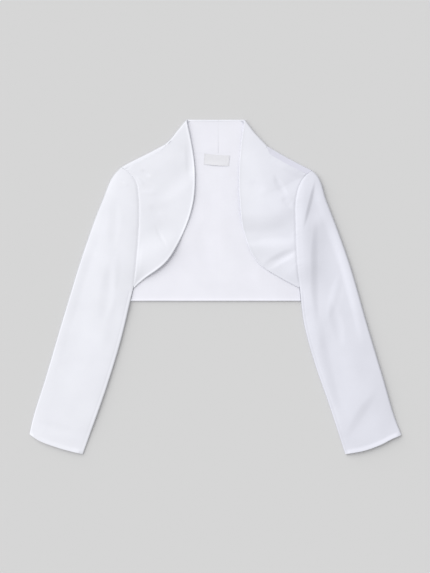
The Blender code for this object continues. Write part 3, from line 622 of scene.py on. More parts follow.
def front_grid(side, neck, shape):
    """A front's outer surface with the collar grown on. Its rows run from the front edge across to the
    armhole and shoulder seams, spread from the neck point to the collar's fold, turn round that fold and
    follow the back of the neck to the centre-back seam."""
    wall = shape.thickness / MM
    arm = side.armhole_steps()[::-1]
    shoulder = np.linspace(1.0, 0.0, SHOULDER_ROWS + 1)[1:]
    far = np.concatenate([side.beside(side.armhole, arm, PRESSED_SEAM),
                          side.shoulder_point(shoulder, side.strip_width(shoulder) + PRESSED_SEAM)])
    far_height = np.concatenate([side.armhole_height(arm), np.full(SHOULDER_ROWS, SHOULDER_SEAM_HEIGHT)])
    seam_run = np.concatenate([[0.0], np.cumsum(np.linalg.norm(np.diff(far, axis=0), axis=1))])
    top = np.linalg.norm(side.collar_point(1.0, side.seam_in, 0.0) - side.front_edge.at(0.0))
    edge_run = np.concatenate([mix(side.front_edge.length, FAN_START, seam_run / seam_run[-1]),
                               np.linspace(FAN_START, top, FAN_ROWS + 1)[1:]])
    fan = np.repeat(far[-1:], FAN_ROWS, axis=0)
    far = np.concatenate([far, fan])
    far_height = np.concatenate([far_height, np.full(FAN_ROWS, far_height[-1])])
    seam_share = np.concatenate([np.ones(len(seam_run)), np.zeros(FAN_ROWS)])
    seam_run = np.concatenate([seam_run, np.full(FAN_ROWS, seam_run[-1])])

    edge = side.front_edge.at(edge_run)
    width = np.linalg.norm(far - edge, axis=1)
    distance, roll = edge_columns(width, FRONT_COLUMNS)
    share = distance / width[:, None]
    plan = mix(edge[:, None], far[:, None], share[..., None])
    laid = mix(far_height[:, None], LAID_HEIGHT + SEAM, ease(1 - share))
    near_fold = ease(1 - (from_collar_fold(side, plan) - FOLD_RADIUS) / FOLD_RISE)
    folds = fold_lift(plan, side.front_folds) * shape.fold_depth
    away = width[:, None] - distance
    waves = pressing(plan, FRONT_WAVES + side.outward) * shape.unevenness / MM
    relief = folds * mix(CALM_SHARE, 1.0, ease(away / CALM_WIDTH)) + waves
    heights = mix(laid, 2 * FOLD_RADIUS, near_fold) + (1 - near_fold) * relief
    heights = soft_floor(heights, LAID_HEIGHT)
    gathered = gathers(seam_run[:, None], away, FRONT_GATHERS, FRONT_GATHER_SEED + side.outward)
    heights += shape.gathers / MM * gathered * seam_share[:, None] * ease(away / GATHER_START)
    sewn = ease((side.armhole.length - side.seam_in - seam_run) / SEAM_DIP_END + 1.0) * seam_share
    heights -= shape.seam_dip / MM * np.exp(-(away / SEAM_DIP_WIDTH) ** 2) * sewn[:, None]
    roll_share = mix(side.roll_share, 1.0, ease((LOW_EDGE - plan[..., 1]) / LOW_EDGE_FADE))
    rolled = edge_roll(distance, roll, roll_share * shape.edge_roll / MM, wall)
    sections = [(plan, heights + rolled, np.maximum(wall + rolled, RIM))]

    angles = np.radians(np.linspace(90.0, -90.0, FOLD_STEPS))[:, None]
    fold_width = side.collar_fold.length
    roll_width = mix(EDGE_ROLL_WIDTH, COLLAR_ROLL_WIDTH, np.linspace(0.0, 1.0, FOLD_STEPS))
    distance, roll = edge_columns(np.full(FOLD_STEPS, fold_width), FRONT_COLUMNS, roll_width)
    underside = np.broadcast_to((1 - np.sin(angles)) / 2, distance.shape)
    inset = np.broadcast_to(FOLD_RADIUS * (1 - np.cos(angles)), distance.shape)
    plan = side.collar_point(1 - distance / fold_width, inset, underside)
    rolled = edge_roll(distance, roll, side.roll_share * shape.edge_roll / MM, wall)
    heights = FOLD_RADIUS * (1 + np.sin(angles)) + 0 * distance
    sections.append((plan, heights, np.maximum(wall + rolled * mix(1.0, 0.5, underside), RIM)))

    top_start = side.collar_point(1.0, FOLD_RADIUS, 1.0)
    centre = CENTRE_BACK + side.outward * SEAM / 2
    shares = np.linspace(0.0, 1.0, COLLAR_ROWS + 1)[1:]
    low = neck_points(side, neck, shares)
    high = np.stack([mix(top_start[0], centre, shares), np.full(COLLAR_ROWS, COLLAR_TOP)], axis=-1)
    width = np.linalg.norm(high - low, axis=1)
    distance, roll = edge_columns(width, FRONT_COLUMNS, COLLAR_ROLL_WIDTH)
    plan = mix(high[:, None], low[:, None], (distance / width[:, None])[..., None])
    height = mix(0.5 * shape.edge_roll, shape.collar_roll, ease(shares / COLLAR_ROLL_START)) / MM
    rolled = narrow_roll(distance, roll, height[:, None], wall)
    sections.append((plan, 0 * distance, np.maximum(wall + rolled, RIM)))

    plan, heights, thickness = (np.concatenate(parts) for parts in zip(*sections))
    numbers = np.arange(heights.size).reshape(heights.shape)
    neck_row = ARMHOLE_ROWS + SHOULDER_ROWS - 1
    numbers[neck_row:neck_row + FAN_ROWS + 1, -1] = numbers[neck_row, -1]
    return with_height(plan, heights), thickness, numbers


def from_collar_fold(side, plan):
    """Distance of plan points from the straight collar fold."""
    start, end = side.collar_fold.points[0], side.collar_fold.points[-1]
    along = end - start
    share = np.clip((plan - start) @ along / (along @ along), 0.0, 1.0)
    return np.linalg.norm(plan - start - share[..., None] * along, axis=-1)


def neck_points(side, neck, shares):
    """Points just above the neck seam, from the collar's fold to the centre-back seam."""
    start = side.collar_point(0.0, FOLD_RADIUS, 1.0)
    x = mix(start[0], CENTRE_BACK + side.outward * SEAM / 2, shares)
    return np.stack([x, np.interp(x, neck.points[:, 0], neck.points[:, 1]) + SEAM], axis=-1)


def sleeve_grid(side, shape):
    """A sleeve's outer surface as a flattened tube: each row runs from the inner fold over the top, round
    the outer fold and back beneath. Beside the armhole a row is open. The top is a crown, 1 - |2s - 1|³
    across, with the folds, the underarm seam, the gathers at the armhole and the turned hem on it."""
    arm = side.armhole_steps()
    tube = side.inner_fold.length
    down = tube * graded(TUBE_ROWS, TUBE_CROWDING)
    cap_share = (arm - side.seam_in) / (side.armhole.length - side.seam_in)
    inner = np.concatenate([side.armhole.at(arm), side.inner_fold.at(down)])
    outer_run = np.concatenate([cap_share * CAP_ON_OUTER_FOLD,
                                mix(CAP_ON_OUTER_FOLD, side.outer_fold.length, down / tube)])
    outer = side.outer_fold.at(outer_run)
    inner_height = np.concatenate([side.armhole_height(arm),
                                   mix(UNDERARM_HEIGHT, 2 * FOLD_RADIUS, ease(down / ARMHOLE_FALL))])
    seam_run = np.concatenate([arm, side.armhole.length + down])[:, None]
    past, pressed = (np.concatenate([np.zeros(ARMHOLE_ROWS), ease(down / reach)])[:, None]
                     for reach in (UNDERARM_BLEND, CUFF_REACH))

    quarter = np.radians(np.linspace(0.0, 90.0, QUARTER_STEPS + 1))
    half = np.radians(np.linspace(90.0, -90.0, 2 * QUARTER_STEPS + 1))
    over = graded(SLEEVE_TOP_COLUMNS + 2, SLEEVE_TOP_CROWDING)[1:-1]
    under = np.linspace(1.0, 0.0, SLEEVE_UNDER_COLUMNS + 2)[1:-1]
    arc = 1 - np.cos(quarter)
    start = FOLD_TURN * np.concatenate([arc, 1 - 2 * over, np.cos(half) - 1, 1 - 2 * under,
                                        arc[::-1]])
    part = np.concatenate([0 * quarter, over, np.ones(len(half)), under, 0 * quarter])
    round_height = FOLD_RADIUS * np.concatenate([1 + np.sin(quarter), 2 + 0 * over, 1 + np.sin(half),
                                                 0 * under, 1 - np.sin(quarter[::-1])])
    top = slice(0, len(quarter) + len(over) + 1)

    width = np.linalg.norm(outer - inner, axis=1)[:, None]
    to_cuff = np.linalg.norm(outer[-1] - outer, axis=1)[:, None]
    distance = start + part * width
    share = np.clip(distance / width, 0.0, 1.0)
    inner_end, outer_end = side.cuff.at(side.cuff.length), side.cuff.at(0.0)
    bow = side.cuff.at((1 - share) * side.cuff.length) - mix(inner_end, outer_end, share[..., None])
    plan = inner[:, None] + distance[..., None] * ((outer - inner) / width)[:, None]
    plan = plan + bow * ease(1 - to_cuff / CUFF_BOW_REACH)[..., None]

    across = distance[:, top]
    edge = mix(2 * FOLD_RADIUS, inner_height[:, None], 1 - share[:, top])
    crown = (shape.crown / MM - 2 * FOLD_RADIUS) * (1 - np.abs(2 * share[:, top] - 1) ** 3)
    folds = fold_lift(plan[:, top], side.sleeve_folds) * shape.fold_depth
    waves = pressing(plan[:, top], SLEEVE_WAVES + side.outward) * shape.unevenness / MM
    calm = mix(mix(CALM_SHARE, 1.0, ease(across / CALM_WIDTH)), ease(across / INNER_CALM), past)
    calm = calm * ease((width - across) / OUTER_CALM)
    full = soft_floor(edge + crown * ease(width / CROWN_WIDTH) + (folds + waves) * calm, SLEEVE_FLOOR)
    from_seam = across - SLEEVE_SEAM_IN
    full -= UNDERARM_DIP * np.exp(-(from_seam / UNDERARM_DIP_WIDTH) ** 2) * past
    at_head = gathers(seam_run, across, SLEEVE_GATHERS, SLEEVE_GATHER_SEED + side.outward)
    below = gathers(seam_run, np.abs(from_seam), UNDERARM_GATHERS, UNDERARM_GATHER_SEED + side.outward)
    full += shape.gathers / MM * mix(at_head * ease(across / GATHER_START),
                                     below * ease(across / UNDERARM_GATHER_START), past)
    full -= shape.seam_dip / MM * np.exp(-(across / SEAM_DIP_WIDTH) ** 2) * (1 - past)

    heights = np.tile(round_height, (len(inner), 1))
    rounding = np.ones_like(across)
    rounding[ARMHOLE_ROWS:, :len(quarter)] = np.sin(quarter)
    heights[:, top] = mix(heights[:, top], full, rounding)
    heights[:ARMHOLE_ROWS, -len(quarter):] = 0.0
    heights *= 1 - CUFF_SINK * ease(1 - to_cuff / CUFF_REACH)
    heights *= 1 - SLEEVE_PRESS[side.outward] * pressed
    from_folds = ease(np.minimum(across, width - across) / CUFF_LIFT_IN)
    heights[:, top] += shape.cuff_lift / MM * ease(1 - to_cuff / CUFF_LIFT_BAND) * from_folds

    numbers = np.arange(heights.size).reshape(heights.shape)
    numbers[ARMHOLE_ROWS:, -1] = numbers[ARMHOLE_ROWS:, 0]
    wall = shape.thickness / MM * (1 + HEM_LAYERS * ease(1.2 - to_cuff / CUFF_BAND))
    steps = np.hypot(np.diff(distance, axis=1), np.diff(heights, axis=1))
    round_run = np.concatenate([np.zeros((len(width), 1)), np.cumsum(steps, axis=1)], axis=1)
    cloth = np.stack([round_run, np.broadcast_to(seam_run, round_run.shape)], axis=-1)
    return with_height(plan, heights), np.broadcast_to(wall, heights.shape), numbers, cloth


def patch(bottom, top, left, right):
    """A patch between four edges: the two ruled surfaces added, less the one through the corners."""
    across = np.linspace(0.0, 1.0, len(bottom))[None, :, None]
    up = np.linspace(0.0, 1.0, len(left))[:, None, None]
    corners = mix(mix(bottom[0], bottom[-1], across), mix(top[0], top[-1], across), up)
    return mix(bottom[None], top[None], up) + mix(left[:, None], right[:, None], across) - corners


def back_edges(left, right, neck, side_inset, shoulder_inset, neck_gap, bottom, columns, rows):
    """The four edges of a back piece, with its insets from the shared plan lines."""
    def upright(side):
        """Side seam from the bottom to the underarm, then the armhole up to the shoulder."""
        drop = np.interp(-bottom, -side.inner_fold.points[:, 1], side.inner_fold.run)
        down = np.linspace(drop, 0.0, 1 + rows // SIDE_SEAM_SHARE) + 1.0
        seam = side.beside(side.inner_fold, down, side_inset)
        seam[0, 1] = bottom
        arm = side.beside(side.armhole, side.armhole_steps(rows)[::-1], side_inset)
        end = side.shoulder_point(1.0, shoulder_inset) + side_inset * end_step(side)
        return np.concatenate([seam, arm, end[None]])

    left_up, right_up = upright(left), upright(right)
    shares = shoulder_shares(left, columns)
    neck_shares = np.linspace(0.0, 1.0, columns + 1)
    neck_row = np.concatenate([neck_points(left, neck, neck_shares[1:]),
                               neck_points(right, neck, neck_shares[-2:0:-1])])
    left_top = left.shoulder_point(shares, np.full(len(shares), shoulder_inset))
    right_top = right.shoulder_point(shares[::-1], np.full(len(shares), shoulder_inset))
    left_top[0], right_top[-1] = left_up[-1], right_up[-1]
    top = np.concatenate([left_top, neck_row - np.array([0.0, neck_gap]), right_top])
    hem = mix(left_up[0], right_up[0], np.linspace(0.0, 1.0, len(top))[:, None])
    return hem, top, left_up, right_up


def end_step(side):
    """Unit step from the armhole's top towards the body."""
    way = side.armhole.way(NEAR_END)
    return np.array([way[1], -way[0]]) * side.outward


def shoulder_shares(side, columns):
    """Shares along a shoulder from the sleeve to a seam's gap short of the neck point."""
    shares = np.linspace(1.0, 0.0, columns + 1)
    shares[-1] = SEAM / side.shoulder.length
    return shares


def back_grid(left, right, neck, shape):
    """The back's outer surface: flat beneath but for shallow creases and a pressed line down its middle, a
    rolled hem along the bottom, and turned over both shoulders to their seams."""
    wall = shape.thickness / MM
    flat = patch(*back_edges(left, right, neck, side_inset=SEAM, shoulder_inset=FOLD_RADIUS,
                             neck_gap=SEAM, bottom=0.0, columns=BACK_COLUMNS, rows=BACK_ROWS))
    toward = flat[1] - flat[0]
    toward /= np.linalg.norm(toward, axis=1, keepdims=True)
    steps = HEM_ROLL_WIDTH * np.linspace(0.0, 1.0, EDGE_STEPS + 1)
    hem = flat[0] + steps[:, None, None] * toward
    above = np.linalg.norm(flat[1:, 0] - flat[0, 0], axis=1)
    keep = flat[1:][above > HEM_ROLL_WIDTH + HEM_ROW_GAP]
    plan = np.concatenate([hem, keep])
    width = plan.shape[1]
    x, y = plan[..., 0], plan[..., 1]
    middle = ease(np.minimum(np.arange(width), width - 1 - np.arange(width)) / CREASE_COLUMNS)
    creases = np.clip(fold_lift(plan, BACK_FOLDS), *CREASE_RANGE) * shape.fold_depth * middle
    seam = BACK_SEAM_RISE * np.exp(-((x - CENTRE_BACK) / BACK_SEAM_WIDTH) ** 2)
    heights = (creases * ease((y - CREASE_START) / CREASE_FADE)
               + seam * ease((y - BACK_SEAM_START) / BACK_SEAM_FADE))
    rolled = narrow_roll(steps, HEM_ROLL_WIDTH, shape.hem_roll / MM, wall)
    thickness = np.concatenate([np.repeat(np.maximum(wall + rolled, RIM)[:, None], width, axis=1),
                                np.full(keep.shape[:2], wall)])

    shares = shoulder_shares(left, BACK_COLUMNS)
    turned = len(shares)
    angles = np.radians(np.linspace(-90.0, 90.0, FOLD_STEPS)[1:])
    over = np.linspace(0.0, 1.0, STRIP_ROWS + 1)[1:, None]
    count = len(angles) + len(over)
    strip = np.zeros((count, width, 2))
    levels = np.zeros((count, width))
    for side, place, along in ((left, slice(0, turned), shares),
                               (right, slice(-turned, None), shares[::-1])):
        drop = 1 - SHOULDER_DROP[side.outward] / (2 * FOLD_RADIUS) * ease(along / SHOULDER_TAPER)
        insets = np.concatenate([np.repeat(FOLD_RADIUS * (1 - np.cos(angles))[:, None], turned, axis=1),
                                 mix(FOLD_RADIUS, side.strip_width(along), over)])
        strip[:, place] = side.shoulder_point(along[None, :], insets)
        levels[:, place] = np.concatenate([FOLD_RADIUS * (1 + np.sin(angles))[:, None] * drop,
                                           mix(2 * FOLD_RADIUS * drop, SHOULDER_SEAM_HEIGHT, over)])
    strip[:, 0] += SEAM * end_step(left)
    strip[:, -1] += SEAM * end_step(right)
    plan = np.concatenate([plan, strip])
    heights = np.concatenate([heights, levels])
    thickness = np.concatenate([thickness, np.full(strip.shape[:2], wall)])
    numbers = np.arange(heights.size).reshape(heights.shape)
    numbers[-count:, turned:-turned] = -1
    return with_height(plan, heights), thickness, numbers


def lining_grid(left, right, neck, shape):
    """The lining's upper surface: level, with faint folds and a shallow seam down the middle of the back."""
    plan = patch(*back_edges(left, right, neck, side_inset=LINING_INSET, shoulder_inset=INNER_TURN,
                             neck_gap=PRESSED_SEAM, bottom=HEM_START, columns=BACK_COLUMNS,
                             rows=LINING_ROWS))
    folds = fold_lift(plan, LINING_FOLDS) * shape.fold_depth
    folds += 0.6 * pressing(plan, LINING_WAVES) * shape.unevenness / MM
    seam = LINING_SEAM_DIP * np.exp(-((plan[..., 0] - CENTRE_BACK) / LINING_SEAM_WIDTH) ** 2)
    heights = LINING_TOP + np.clip(folds, *LINING_FOLD_RANGE) - seam
    return with_height(plan, heights + HEM_RISE * np.exp(-(plan[..., 1] - HEM_START) / HEM_FADE))


def facing_grid(side, neck, shape):
    """Half of the collar's inner face: level, with faint waves, a slight dip at the centre-back seam, and
    raised behind the collar's rolled top."""
    shares = graded(FACING_COLUMNS, FACING_CROWDING)
    low = neck_points(side, neck, shares)
    low[0] = side.collar_point(0.0, INNER_TURN, 1.0)
    low[0, 1] = max(low[0, 1] + 2 * SEAM, low[1, 1])
    outer_top = side.collar_point(1.0, INNER_TURN, 1.0)[0]
    centre = CENTRE_BACK + side.outward * PRESSED_SEAM / 2
    high = np.stack([mix(outer_top, centre, shares), np.full(FACING_COLUMNS, COLLAR_TOP - COLLAR_START)],
                    axis=-1)
    down = np.linspace(0.0, 1.0, FACING_ROWS) ** 1.4
    plan = mix(high[:, None], low[:, None], down[None, :, None])
    away = plan[..., 0] - centre
    heights = LINING_TOP - FACING_SEAM_DIP * np.exp(-(away / FACING_SEAM_WIDTH) ** 2) * ease(1.2 - down)
    heights += 0.5 * pressing(plan, FACING_WAVES) * shape.unevenness / MM * ease(4 - 4 * down)
    return with_height(plan, heights + COLLAR_RISE * np.exp(-(high[0, 1] - plan[..., 1]) / COLLAR_FADE))


def label_plan(across, up):
    """Plan place of a point on the label, from its shares across and up; its long edges are bowed."""
    x = across * LABEL_WIDTH
    y = up * LABEL_DEPTH - LABEL_BOW * (1 - (2 * across) ** 2)
    turn_x, turn_y = np.cos(LABEL_TURN), np.sin(LABEL_TURN)
    return np.stack([LABEL_CENTRE[0] + x * turn_x - y * turn_y, LABEL_CENTRE[1] + x * turn_y + y * turn_x],
                    axis=-1)


def label_height(across, up):
    """Top of the label: thick woven edges, and a free lower edge that lifts between its sewn ends."""
    selvedge = SELVEDGE_HEIGHT * np.exp(-((0.5 - np.abs(up)) * LABEL_DEPTH / SELVEDGE_WIDTH) ** 2)
    lift = LABEL_LIFT * ease(-2 * up) * (1 - (2 * across) ** 2)
    return LINING_TOP + LABEL_REST + selvedge + lift


def stitches(name, places, ways, heights, material):
    """Short thread stitches as one mesh: each is a six-sided arch, its line rising as sin(πt) from the cloth
    and its round section narrowing at both ends."""
    length, radius = STITCH_LENGTH, STITCH_RADIUS
    t = np.linspace(0.0, 1.0, 7)
    spin = np.linspace(0.0, 2 * pi, 7)[:-1]
    body = radius * (0.35 + 0.65 * np.sin(pi * t))
    centre = places[:, None] + (t - 0.5)[None, :, None] * length * ways[:, None]
    lift = heights[:, None] + radius * 1.4 * np.sin(pi * t)
    side_way = np.stack([-ways[:, 1], ways[:, 0]], axis=-1)
    plan = centre[:, :, None] + (body[:, None] * np.cos(spin))[None, ..., None] * side_way[:, None, None]
    height = lift[..., None] + (body[:, None] * np.sin(spin))[None]
    number = np.arange(height.size).reshape(height.shape)
    following = np.roll(number, -1, axis=2)
    quads = np.stack([number[:, :-1], following[:, :-1], following[:, 1:], number[:, 1:]], axis=-1)
    caps = np.concatenate([number[:, 0, ::-1], number[:, -1]])
    faces = quads.reshape(-1, 4).tolist() + caps.tolist()
    return new_piece(name, with_height(plan, height).reshape(-1, 3), faces, material)


def add_node(tree, kind, inputs=None, **settings):
    """Adds one node: its settings, and a value or another node's output for each input, by name or number.
    A mix node's two colours are its inputs 6 and 7, and the mixed colour is its output 2."""
    node = tree.nodes.new("ShaderNode" + kind)
    for name, value in settings.items():
        setattr(node, name, value)
    for key, value in (inputs or {}).items():
        if isinstance(value, bpy.types.NodeSocket):
            tree.links.new(value, node.inputs[key])
        else:
            node.inputs[key].default_value = value
    return node


def new_material(name):
    """A material with only its output and shader."""
    material = bpy.data.materials.new(name)
    material.use_nodes = True
    tree = material.node_tree
    return material, tree, tree.nodes["Principled BSDF"]


def band_scale(spacing):
    """Scale of a band pattern whose bands are a spacing apart: a scale of 1 puts them 0.314 apart."""
    return 0.31416 / spacing


def limits(pair):
    """The range that a map range reads, as its inputs."""
    return {"From Min": pair[0], "From Max": pair[1]}


def satin_material(name, colour, painted_shade_tone, shoulder_painted_shade_colour=None):
    """Duchess satin, woven with long warp floats and pressed: a smooth face with a broad soft highlight,
    fine lines along the threads, and faint clouds where pressing left it more or less flat. The real floats
    are about 0.1 mm apart and too fine for the picture, so they are drawn wider. Shade is painted into the
    colour in three ways: the cloth is multiplied by the painted shade tone, darker towards the right sleeve;
    the strip where the back turns over the right shoulder is mixed towards a darker lilac painted shade;
    and a surface turned towards the lamp gets a painted shade that dulls it below the light on it."""
    looks = bpy.context.scene.bolero_cloth
    spacing, roughness = looks.thread_spacing, looks.satin_roughness
    material, tree, shader = new_material(name)
    thread = add_node(tree, "UVMap", uv_map="Thread").outputs["UV"]
    warp = add_node(tree, "TexWave", {"Vector": thread, "Scale": band_scale(spacing), "Distortion": 0.6,
                                      "Detail": 2.0, "Detail Scale": 0.6},
                    wave_type="BANDS", bands_direction="X")
    weft = add_node(tree, "TexWave", {"Vector": thread, "Scale": band_scale(1.6 * spacing),
                                      "Distortion": 0.4},
                    wave_type="BANDS", bands_direction="DIAGONAL")
    slub_place = add_node(tree, "Mapping", {"Vector": thread, "Scale": (500.0, 28.0, 1.0)})
    slub = add_node(tree, "TexNoise", {"Vector": slub_place.outputs["Vector"], "Scale": 1.0,
                                       "Detail": 2.0}).outputs["Fac"]
    cloud = add_node(tree, "TexNoise", {"Vector": thread, "Scale": 16.0, "Detail": 3.0, "Roughness": 0.45})
    weave = add_node(tree, "Math", {0: warp.outputs["Fac"], 1: 0.6, 2: weft.outputs["Fac"]},
                     operation="MULTIPLY_ADD")
    height = add_node(tree, "Math", {0: slub, 1: 0.8, 2: weave.outputs["Value"]},
                      operation="MULTIPLY_ADD")
    bump = add_node(tree, "Bump", {"Height": height.outputs["Value"], "Strength": 0.10,
                                   "Distance": 0.0002})
    clouded = add_node(tree, "MapRange", {"Value": cloud.outputs["Fac"], **limits(NOISE_RANGE)})
    deep = [0.955 * value for value in colour]
    cloth = add_node(tree, "Mix", {0: clouded.outputs["Result"], 6: (*deep, 1.0), 7: (*colour, 1.0)},
                     data_type="RGBA").outputs[2]
    place = add_node(tree, "SeparateXYZ", {"Vector": add_node(tree, "TexCoord").outputs["Object"]})
    # Painted shade: the cloth is multiplied by a tone that darkens it towards the right sleeve.
    shade_to_right = add_node(tree, "MapRange", {"Value": place.outputs["X"], **limits(PAINTED_SHADE_ACROSS)})
    cloth = add_node(tree, "Mix", {0: shade_to_right.outputs["Result"], 6: cloth, 7: (*painted_shade_tone, 1.0)},
                     data_type="RGBA", blend_type="MULTIPLY").outputs[2]
    # Painted shade: high up and far right, on the strip where the back turns over the right shoulder, the
    # cloth is mixed towards a darker lilac.
    if shoulder_painted_shade_colour:
        high = add_node(tree, "MapRange", {"Value": place.outputs["Z"], **limits(SHOULDER_SHADE_HEIGHT)})
        right = add_node(tree, "MapRange", {"Value": place.outputs["X"], **limits(SHOULDER_SHADE_ACROSS),
                                            "To Max": high.outputs["Result"]})
        cloth = add_node(tree, "Mix", {0: right.outputs["Result"], 6: cloth, 7: (*shoulder_painted_shade_colour, 1.0)},
                         data_type="RGBA").outputs[2]
    # Painted shade: a surface whose normal points towards the lamp is darkened in its colour.
    heading = bpy.context.scene.bolero_stage.key_heading
    facing = add_node(tree, "VectorMath", {0: add_node(tree, "NewGeometry").outputs["Normal"],
                                           1: (-np.sin(heading), np.cos(heading), 0.0)},
                      operation="DOT_PRODUCT")
    turned = add_node(tree, "MapRange", {"Value": facing.outputs["Value"], **limits(LAMP_FACING_SHADE_RANGE),
                                         "To Min": 1.0, "To Max": LAMP_FACING_PAINTED_SHADE})
    cloth = add_node(tree, "Mix", {0: 1.0, 6: cloth, 7: turned.outputs["Result"]},
                     data_type="RGBA", blend_type="MULTIPLY").outputs[2]
    rough = add_node(tree, "MapRange", {"Value": slub, **limits(NOISE_RANGE),
                                        "To Min": roughness - 0.04, "To Max": roughness + 0.05})
    tree.links.new(cloth, shader.inputs["Base Color"])
    tree.links.new(rough.outputs["Result"], shader.inputs["Roughness"])
    tree.links.new(bump.outputs["Normal"], shader.inputs["Normal"])
    shader.inputs["Specular IOR Level"].default_value = 0.32
    shader.inputs["Sheen Weight"].default_value = looks.lustre
    shader.inputs["Sheen Roughness"].default_value = 0.35
    return material


def label_material(name, colour):
    """Woven ribbon, a tight taffeta of fine polyester: small crossing ribs, dull between bright threads. The
    real ribs are 0.25 mm apart and are drawn wider, so that they show."""
    material, tree, shader = new_material(name)
    thread = add_node(tree, "UVMap", uv_map="Thread").outputs["UV"]
    turned = add_node(tree, "Mapping", {"Vector": thread, "Rotation": (0.0, 0.0, -LABEL_TURN)})
    place = turned.outputs["Vector"]
    ribs = add_node(tree, "TexWave", {"Vector": place, "Scale": band_scale(RIB_SPACING * MM),
                                      "Distortion": 0.3},
                    wave_type="BANDS", bands_direction="Y")
    across = add_node(tree, "TexWave", {"Vector": place, "Scale": band_scale(RIB_SPACING_ACROSS * MM),
                                        "Distortion": 0.3},
                      wave_type="BANDS", bands_direction="X")
    weave = add_node(tree, "Math", {0: ribs.outputs["Fac"], 1: across.outputs["Fac"]},
                     operation="MULTIPLY")
    bump = add_node(tree, "Bump", {"Height": weave.outputs["Value"], "Strength": 0.35, "Distance": 0.0002})
    deep = [0.88 * value for value in colour]
    cloth = add_node(tree, "Mix", {0: weave.outputs["Value"], 6: (*deep, 1.0), 7: (*colour, 1.0)},
                     data_type="RGBA")
    tree.links.new(cloth.outputs[2], shader.inputs["Base Color"])
    tree.links.new(bump.outputs["Normal"], shader.inputs["Normal"])
    shader.inputs["Roughness"].default_value = 0.62
    shader.inputs["Sheen Weight"].default_value = 0.1
    return material


def thread_material(name, colour):
    """Spun polyester thread: two strands twisted together, which show as slanted lines on each stitch."""
    material, tree, shader = new_material(name)
    place = add_node(tree, "TexCoord").outputs["Object"]
    twist = add_node(tree, "TexWave", {"Vector": place, "Scale": band_scale(TWIST_SPACING * MM)},
                     wave_type="BANDS", bands_direction="DIAGONAL")
    bump = add_node(tree, "Bump", {"Height": twist.outputs["Fac"], "Strength": 0.3, "Distance": 0.0001})
    deep = [0.9 * value for value in colour]
    tone = add_node(tree, "Mix", {0: twist.outputs["Fac"], 6: (*deep, 1.0), 7: (*colour, 1.0)},
                    data_type="RGBA")
    tree.links.new(tone.outputs[2], shader.inputs["Base Color"])
    tree.links.new(bump.outputs["Normal"], shader.inputs["Normal"])
    shader.inputs["Roughness"].default_value = 0.5
    return material


def paper_material(name, colour):
    """Seamless background paper, calendered: matt, with a very faint tooth."""
    material, tree, shader = new_material(name)
    place = add_node(tree, "TexCoord").outputs["Object"]
    tooth = add_node(tree, "TexNoise", {"Vector": place, "Scale": 900.0, "Detail": 2.0})
    bump = add_node(tree, "Bump", {"Height": tooth.outputs["Fac"], "Strength": 0.03, "Distance": 0.0001})
    deep = [0.985 * value for value in colour]
    tone = add_node(tree, "Mix", {0: tooth.outputs["Fac"], 6: (*deep, 1.0), 7: (*colour, 1.0)},
                    data_type="RGBA")
    tree.links.new(tone.outputs[2], shader.inputs["Base Color"])
    tree.links.new(bump.outputs["Normal"], shader.inputs["Normal"])
    shader.inputs["Roughness"].default_value = 0.9
    shader.inputs["Specular IOR Level"].default_value = 0.1
    return material


def sides():
    """Both sides' lines and the neck seam between their collar folds."""
    left = Side(LEFT, LEFT_FRONT_FOLDS, LEFT_SLEEVE_FOLDS, -1)
    right = Side(RIGHT, RIGHT_FRONT_FOLDS, RIGHT_SLEEVE_FOLDS, 1)
    ends = [side.collar_point(0.0, FOLD_RADIUS, 1.0) for side in (left, right)]
    return left, right, Line([ends[0], *NECK_SEAM, ends[1]])


def shared_satin(name):
    """The satin of that name, made once for all the pieces cut from it: the outside cloth, the same for the
    back piece, which turns over the shoulders, with a painted shade on its strip over the right shoulder, or
    the lighter one of the lining and the collar's inner face. Each has a painted shade darker towards the
    right."""
    cloth = bpy.context.scene.bolero_cloth
    made_of = {
        "duchess_satin_woven_and_pressed": (cloth.satin_colour, cloth.satin_painted_shade_right),
        "duchess_satin_back_painted_shade": (cloth.satin_colour, cloth.satin_painted_shade_right, cloth.shoulder_painted_shade_colour),
        "lining_satin_woven": (cloth.lining_colour, cloth.lining_painted_shade_right),
    }
    return bpy.data.materials.get(name) or satin_material(name, *made_of[name])


class BOLERO_OT_back(Operator):
    """Make the back, turned over the shoulders, and its lining"""
    bl_idname = "bolero.back"
    bl_label = "Back and lining"

    def execute(self, context):
        shape = context.scene.bolero_shape
        left, right, neck = sides()
        points, thickness, numbers = back_grid(left, right, neck, shape)
        satin = shared_satin("duchess_satin_back_painted_shade")
        back = shell("back_satin", points, thickness, True, satin, numbers=numbers)
        dress(back, "back")
        points = lining_grid(left, right, neck, shape)
        satin = shared_satin("lining_satin_woven")
        lining = shell("back_lining_satin", points, LINING_THICKNESS, False, satin)
        dress(lining, "back_lining")
        return {"FINISHED"}


class BOLERO_OT_fronts(Operator):
    """Make the two fronts with the collar grown on"""
    bl_idname = "bolero.fronts"
    bl_label = "Fronts and collar"

    def execute(self, context):
        left, right, neck = sides()
        satin = shared_satin("duchess_satin_woven_and_pressed")
        for word, side in (("left", left), ("right", right)):
            points, thickness, numbers = front_grid(side, neck, context.scene.bolero_shape)
            name = f"front_{word}_satin"
            front = shell(name, points, thickness, side.outward < 0, satin, numbers=numbers)
            dress(front, f"front_{word}")
        return {"FINISHED"}


class BOLERO_OT_facings(Operator):
    """Make the collar's inner face, in two halves"""
    bl_idname = "bolero.facings"
    bl_label = "Collar facings"

    def execute(self, context):
        left, right, neck = sides()
        satin = shared_satin("lining_satin_woven")
        for word, side in (("left", left), ("right", right)):
            points = facing_grid(side, neck, context.scene.bolero_shape)
            name = f"collar_facing_{word}_satin"
            facing = shell(name, points, LINING_THICKNESS, side.outward > 0, satin)
            dress(facing, f"collar_facing_{word}")
        return {"FINISHED"}


